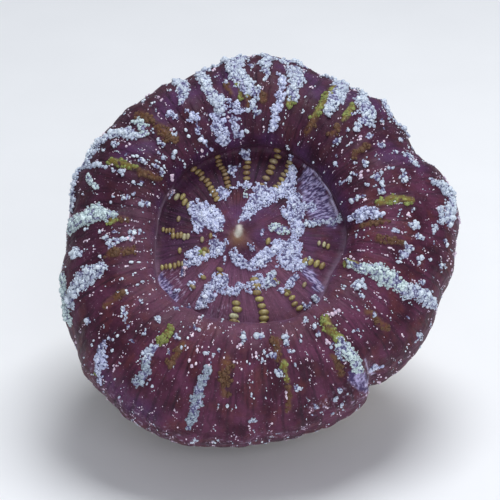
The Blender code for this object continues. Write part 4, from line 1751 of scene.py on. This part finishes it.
@dataclass
class LooseGrains:
    """Single grains and small clusters in rows along the grooves, thickest along the ring's edge.

    Args:
        form: the coral's form.
        rng: the random numbers.
        smallest: half the width of the smallest grain, in mm.
        largest: half the width of the largest grain, in mm.
        most: the most grains in a cluster.
        pitch: how far apart places for a cluster are along a row, in mm.
        rosy: the share of rosy clusters.
        flank: how much likelier a place on the lower flank holds grains.
        rows: the rows around the coral.
        first_reach: the reach where the rows start.
        last_reach: the reach where they end.
        edge_reach: the reach of the ring's edge at the top, where grains are thickest.
        edge_sag: how much further out the edge lies at the bottom.
        edge_half: the half width of the edge.
        edge_shares: the chance on the edge at the bottom, what the top adds and what the right adds.
        inner_hump: the middle and the half width of the inner belt of grains.
        inner_share: the chance in it.
        crest_hump: the middle and the half width of the bare crest at the bottom.
        least: the chance elsewhere.
        right: the angle on the right where grains are likeliest.
        grain_widths: the range of a grain's width around and along the skin, against its half width.
        grain_height: its width out of the skin, against the same.
    """

    form: PolypForm
    rng: np.random.Generator
    smallest: float = 0.14
    largest: float = 0.34
    most: int = 4
    pitch: float = 2.2
    rosy: float = 0.35
    flank: float = 0.0
    rows: int = 66
    first_reach: float = 19.0
    last_reach: float = 60.0
    edge_reach: float = 40.5
    edge_sag: float = 8.0
    edge_half: float = 5.0
    edge_shares: Triple = (0.3, 0.3, 0.4)
    inner_hump: Span = (27.0, 9.0)
    inner_share: float = 0.34
    crest_hump: Span = (20.0, 4.0)
    least: float = 0.06
    right: float = 0.5
    grain_widths: tuple[Span, Span] = ((0.7, 1.1), (0.9, 1.6))
    grain_height: float = 0.9

    def chance(self, angle: float, reach: float) -> float:
        """How likely a place in a row holds grains.

        Args:
            angle: its angle.
            reach: its reach, in mm.

        Returns:
            The chance, from 0 to 1.
        """
        upper = 0.5 + 0.5 * math.sin(angle)
        right = max(0.0, math.cos(angle - self.right)) ** 2
        edge = hump(reach, self.edge_reach + self.edge_sag * (1.0 - upper), self.edge_half)
        crest = hump(reach, *self.crest_hump) * (1.0 - upper)
        at_bottom, at_top, at_right = self.edge_shares
        on_edge = (at_bottom + at_top * upper + at_right * right) * edge
        share = self.inner_share * hump(reach, *self.inner_hump) + on_edge
        return min(1.0, share + self.flank * (1.0 - upper) + self.least) * (1.0 - crest)

    def gather(self, lumps: Lumps) -> None:
        """Gathers the grains.

        Args:
            lumps: where they are gathered.
        """
        for row in range(self.rows):
            angle = TURN * (row + 0.5) / self.rows
            reach = self.first_reach + self.rng.uniform(0.0, self.pitch)
            while reach < self.last_reach:
                if self.rng.uniform() < self.chance(angle, reach):
                    self.cluster(lumps, angle + math.radians(self.rng.normal(0.0, 0.9)), reach)
                reach += self.pitch * self.rng.uniform(0.5, 1.5)

    def cluster(self, lumps: Lumps, angle: float, reach: float) -> None:
        """Gathers one cluster.

        Args:
            lumps: where it is gathered.
            angle: its angle.
            reach: its reach, in mm.
        """
        tone = Tone.ROSE if self.rng.uniform() < self.rosy else Tone.CHALK
        size = self.smallest + (self.largest - self.smallest) * self.rng.uniform() ** 1.6
        for _ in range(self.rng.integers(1, self.most + 1)):
            half = size * self.rng.uniform(0.6, 1.1)
            tint = tone.tint(self.rng.uniform(0.3, 1.0))
            grain_angle = angle + self.rng.normal(0.0, 1.1 * size) / 30.0
            grain_reach = reach + self.rng.normal(0.0, 2.0 * size)
            lift = half * self.rng.uniform(0.0, 0.4)
            around, along = (self.rng.uniform(*widths) for widths in self.grain_widths)
            sizes = (around, along, self.grain_height)
            lumps.gathered.append(Lump(grain_angle, grain_reach, half, lift, tint, sizes))


@dataclass
class BeadStrings:
    """The rows of olive beads on the oral disc, each bead lying across its row.

    Args:
        form: the coral's form.
        rng: the random numbers.
        sizes: a bead's width around, along and out of the skin, against half its width.
        closeness: how far apart beads are along a row, against half their width.
        lone_half: half the width of a bead that is in no row, in mm.
        lone_light: how light such a bead is at most.
        brown: the colour of the darkest beads.
        olive: the colour of the light ones.
        pale: the colour of the palest ones.
        pale_share: the share of beads that go from brown to pale.
        least_light: how light a bead is at least, against the most that its row allows.
        half_range: the range of half a bead's width, against its row's.
        strays: how far a bead is off its place, in degrees around and in mm along its row.
    """

    form: PolypForm
    rng: np.random.Generator
    sizes: Triple = (1.2, 0.76, 0.75)
    closeness: float = 1.66
    lone_half: float = 0.52
    lone_light: float = 0.5
    brown: Colour = (0.170, 0.088, 0.040)
    olive: Colour = (0.480, 0.450, 0.170)
    pale: Colour = (0.700, 0.740, 0.480)
    pale_share: float = 0.2
    least_light: float = 0.3
    half_range: Span = (0.88, 1.1)
    strays: Span = (0.7, 0.05)

    def gather(self, lumps: Lumps) -> None:
        """Gathers every bead.

        Args:
            lumps: where they are gathered.
        """
        for row in BEAD_ROWS:
            first, last = np.array(row.first), np.array(row.last)
            count = max(2, round(abs(last[1] - first[1]) / (self.closeness * row.half)) + 1)
            for share in np.linspace(0.0, 1.0, count):
                self.bead(lumps, *(first + (last - first) * share), row.half, row.lightest)
        for angle, reach in LONE_BEADS:
            self.bead(lumps, angle, reach, self.lone_half, self.lone_light)

    def bead(self, lumps: Lumps, degrees: float, reach: float, half: float, lightest: float) -> None:
        """Gathers one bead.

        Args:
            lumps: where it is gathered.
            degrees: its angle, in degrees.
            reach: its reach, in mm.
            half: half its width, in mm.
            lightest: how light it is at most, lower in the rows that get painted shade.
        """
        light = (self.least_light + (1.0 - self.least_light) * self.rng.uniform() ** 1.5) * lightest
        top = self.pale if self.rng.uniform() < self.pale_share else self.olive
        tint = tuple(np.array(self.brown) + (np.array(top) - np.array(self.brown)) * light)
        half = half * self.rng.uniform(*self.half_range)
        angle = math.radians(degrees + self.rng.normal(0.0, self.strays[0]))
        reach = reach + self.rng.normal(0.0, self.strays[1])
        lumps.gathered.append(Lump(angle, reach, half, 0.1 * half, tint, self.sizes))


@dataclass(frozen=True)
class Studio:
    """The plain pale floor, the soft light and the camera at the photograph's angle.

    Args:
        form: the coral's form, whose disc the camera is lined up on.
        camera_elevation: how high the camera looks from.
        camera_distance: how far it is from the disc, in mm.
        frame_width: the width of its view at the disc, in mm.
        frame_pixels: the photograph's width and height.
        disc_pixel: where the disc's middle is in the photograph.
        sensor: the width of the camera's sensor, in mm.
        floor_size: the floor's side, in metres.
    """

    form: PolypForm
    camera_elevation: float = math.radians(28.0)
    camera_distance: float = 400.0
    frame_width: float = 87.5
    frame_pixels: float = 500.0
    disc_pixel: Span = (252.0, 236.0)
    sensor: float = 36.0
    floor_size: float = 3.0

    def light(self, name: str, place: Place, size: float, power: float, colour: Colour) -> None:
        """Adds a soft square light that looks at the coral.

        Args:
            name: its name.
            place: where it is, in metres.
            size: its side, in metres.
            power: its power, in watts.
            colour: its colour.
        """
        data = bpy.data.lights.new(name, "AREA")
        data.size = size
        data.energy = power
        data.color = colour
        lamp = bpy.data.objects.new(name, data)
        lamp.location = place
        aim = Vector(self.form.centre) * MM - Vector(place)
        lamp.rotation_euler = aim.to_track_quat("-Z", "Y").to_euler()
        bpy.context.scene.collection.objects.link(lamp)

    def lights(self) -> None:
        """Adds the overhead key light, a fill from the front and the pale surroundings."""
        self.light("key", (0.05, 0.06, 0.46), size=0.22, power=1.65, colour=(0.96, 0.98, 1.0))
        self.light("fill", (0.12, -0.60, 0.26), size=0.5, power=2.15, colour=(0.97, 0.97, 1.0))
        world = bpy.data.worlds.new("studio")
        world.use_nodes = True
        background = world.node_tree.nodes["Background"]
        background.inputs["Color"].default_value = (0.82, 0.86, 0.93, 1.0)
        background.inputs["Strength"].default_value = 0.3
        bpy.context.scene.world = world
        bpy.context.scene.view_settings.view_transform = "Standard"

    def floor(self) -> None:
        """Adds the floor."""
        half = 0.5 * self.floor_size
        corners = np.array([[-half, -half, 0.0], [half, -half, 0.0], [half, half, 0.0], [-half, half, 0.0]])
        plane = new_object("floor", corners, [(0, 1, 2, 3)])
        plane.data.materials.append(FloorFinish().make())

    def camera(self) -> None:
        """Adds the camera, aimed so that the disc's middle falls on its pixel of the photograph."""
        side = Vector((1.0, 0.0, 0.0))
        back = Vector((0.0, -math.cos(self.camera_elevation), math.sin(self.camera_elevation)))
        up = back.cross(side)
        pixel = self.frame_width / self.frame_pixels
        right_by = (self.disc_pixel[0] - 0.5 * self.frame_pixels) * pixel
        up_by = (0.5 * self.frame_pixels - self.disc_pixel[1]) * pixel
        aim = Vector(self.form.centre) - side * right_by - up * up_by
        data = bpy.data.cameras.new("photo_view")
        data.sensor_width = self.sensor
        data.lens = self.sensor * self.camera_distance / self.frame_width
        data.clip_start = 0.01
        eye = bpy.data.objects.new("photo_view", data)
        eye.location = (aim + back * self.camera_distance) * MM
        eye.rotation_euler = (-back).to_track_quat("-Z", "Y").to_euler()
        bpy.context.scene.collection.objects.link(eye)
        bpy.context.scene.camera = eye


def attach(piece: bpy.types.Object) -> None:
    """Fixes a piece to the coral's body, in place of its plain solid, and reports it.

    Args:
        piece: the piece.
    """
    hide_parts(NODE)
    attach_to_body(piece, "root")
    LOG.info("%s: %d vertices, %d faces", piece.name, len(piece.data.vertices), len(piece.data.polygons))


def main() -> None:
    """Builds the dressed coral and its studio."""
    logging.basicConfig(level=logging.INFO, format="%(name)s: %(message)s")
    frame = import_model()
    LOG.info("the packed model has %d nodes", len(frame["nodes"]))
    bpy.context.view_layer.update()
    low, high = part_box(NODE)
    base_middle = np.array([(low.x + high.x) / 2, (low.y + high.y) / 2, low.z]) / MM
    form = PolypForm(base_middle + np.array(DISC_FROM_BASE))
    noise.seed_set(SEED)
    rng = np.random.default_rng(SEED)
    attach(Skin(form).build())
    attach(StonyStalk(form).build())
    chalky = CrustFinish().make()
    for name, runs, crust in (
        ("crust_upper_right", UPPER_RIGHT_CRUST, Crust(form, rng)),
        ("crust_upper_left", UPPER_LEFT_CRUST, Crust(form, rng)),
        ("crust_lower", LOWER_CRUST + RING_CLUMPS, Crust(form, rng)),
        ("disc_crust", DISC_CRUST + DISC_CLUMPS, Crust(form, rng, size=0.38, gap_below=-0.30)),
        ("olive_growth", OLIVE_STREAKS, Crust(form, rng, smallest=0.22, heap=0.12, gap_below=-0.1)),
    ):
        lumps = Lumps(form, rng)
        crust.gather(lumps, runs)
        attach(lumps.build(name, chalky))
    for name, grains in (
        ("loose_grains", LooseGrains(form, rng)),
        (
            "fine_grains",
            LooseGrains(form, rng, smallest=0.09, largest=0.2, most=3, pitch=0.7, rosy=0.7, flank=0.3),
        ),
    ):
        lumps = Lumps(form, rng)
        grains.gather(lumps)
        attach(lumps.build(name, chalky))
    # The beads get a browner painted shade at their feet.
    beads = Lumps(form, rng, plain_below=0.0, foot=(0.42, 0.28, 0.20), lit_height=0.95)
    BeadStrings(form, rng).gather(beads)
    attach(beads.build("disc_beads", BeadFinish().make(), fineness=3, jag=0.03))
    studio = Studio(form)
    studio.lights()
    studio.floor()
    studio.camera()


if __name__ == "__main__":
    main()
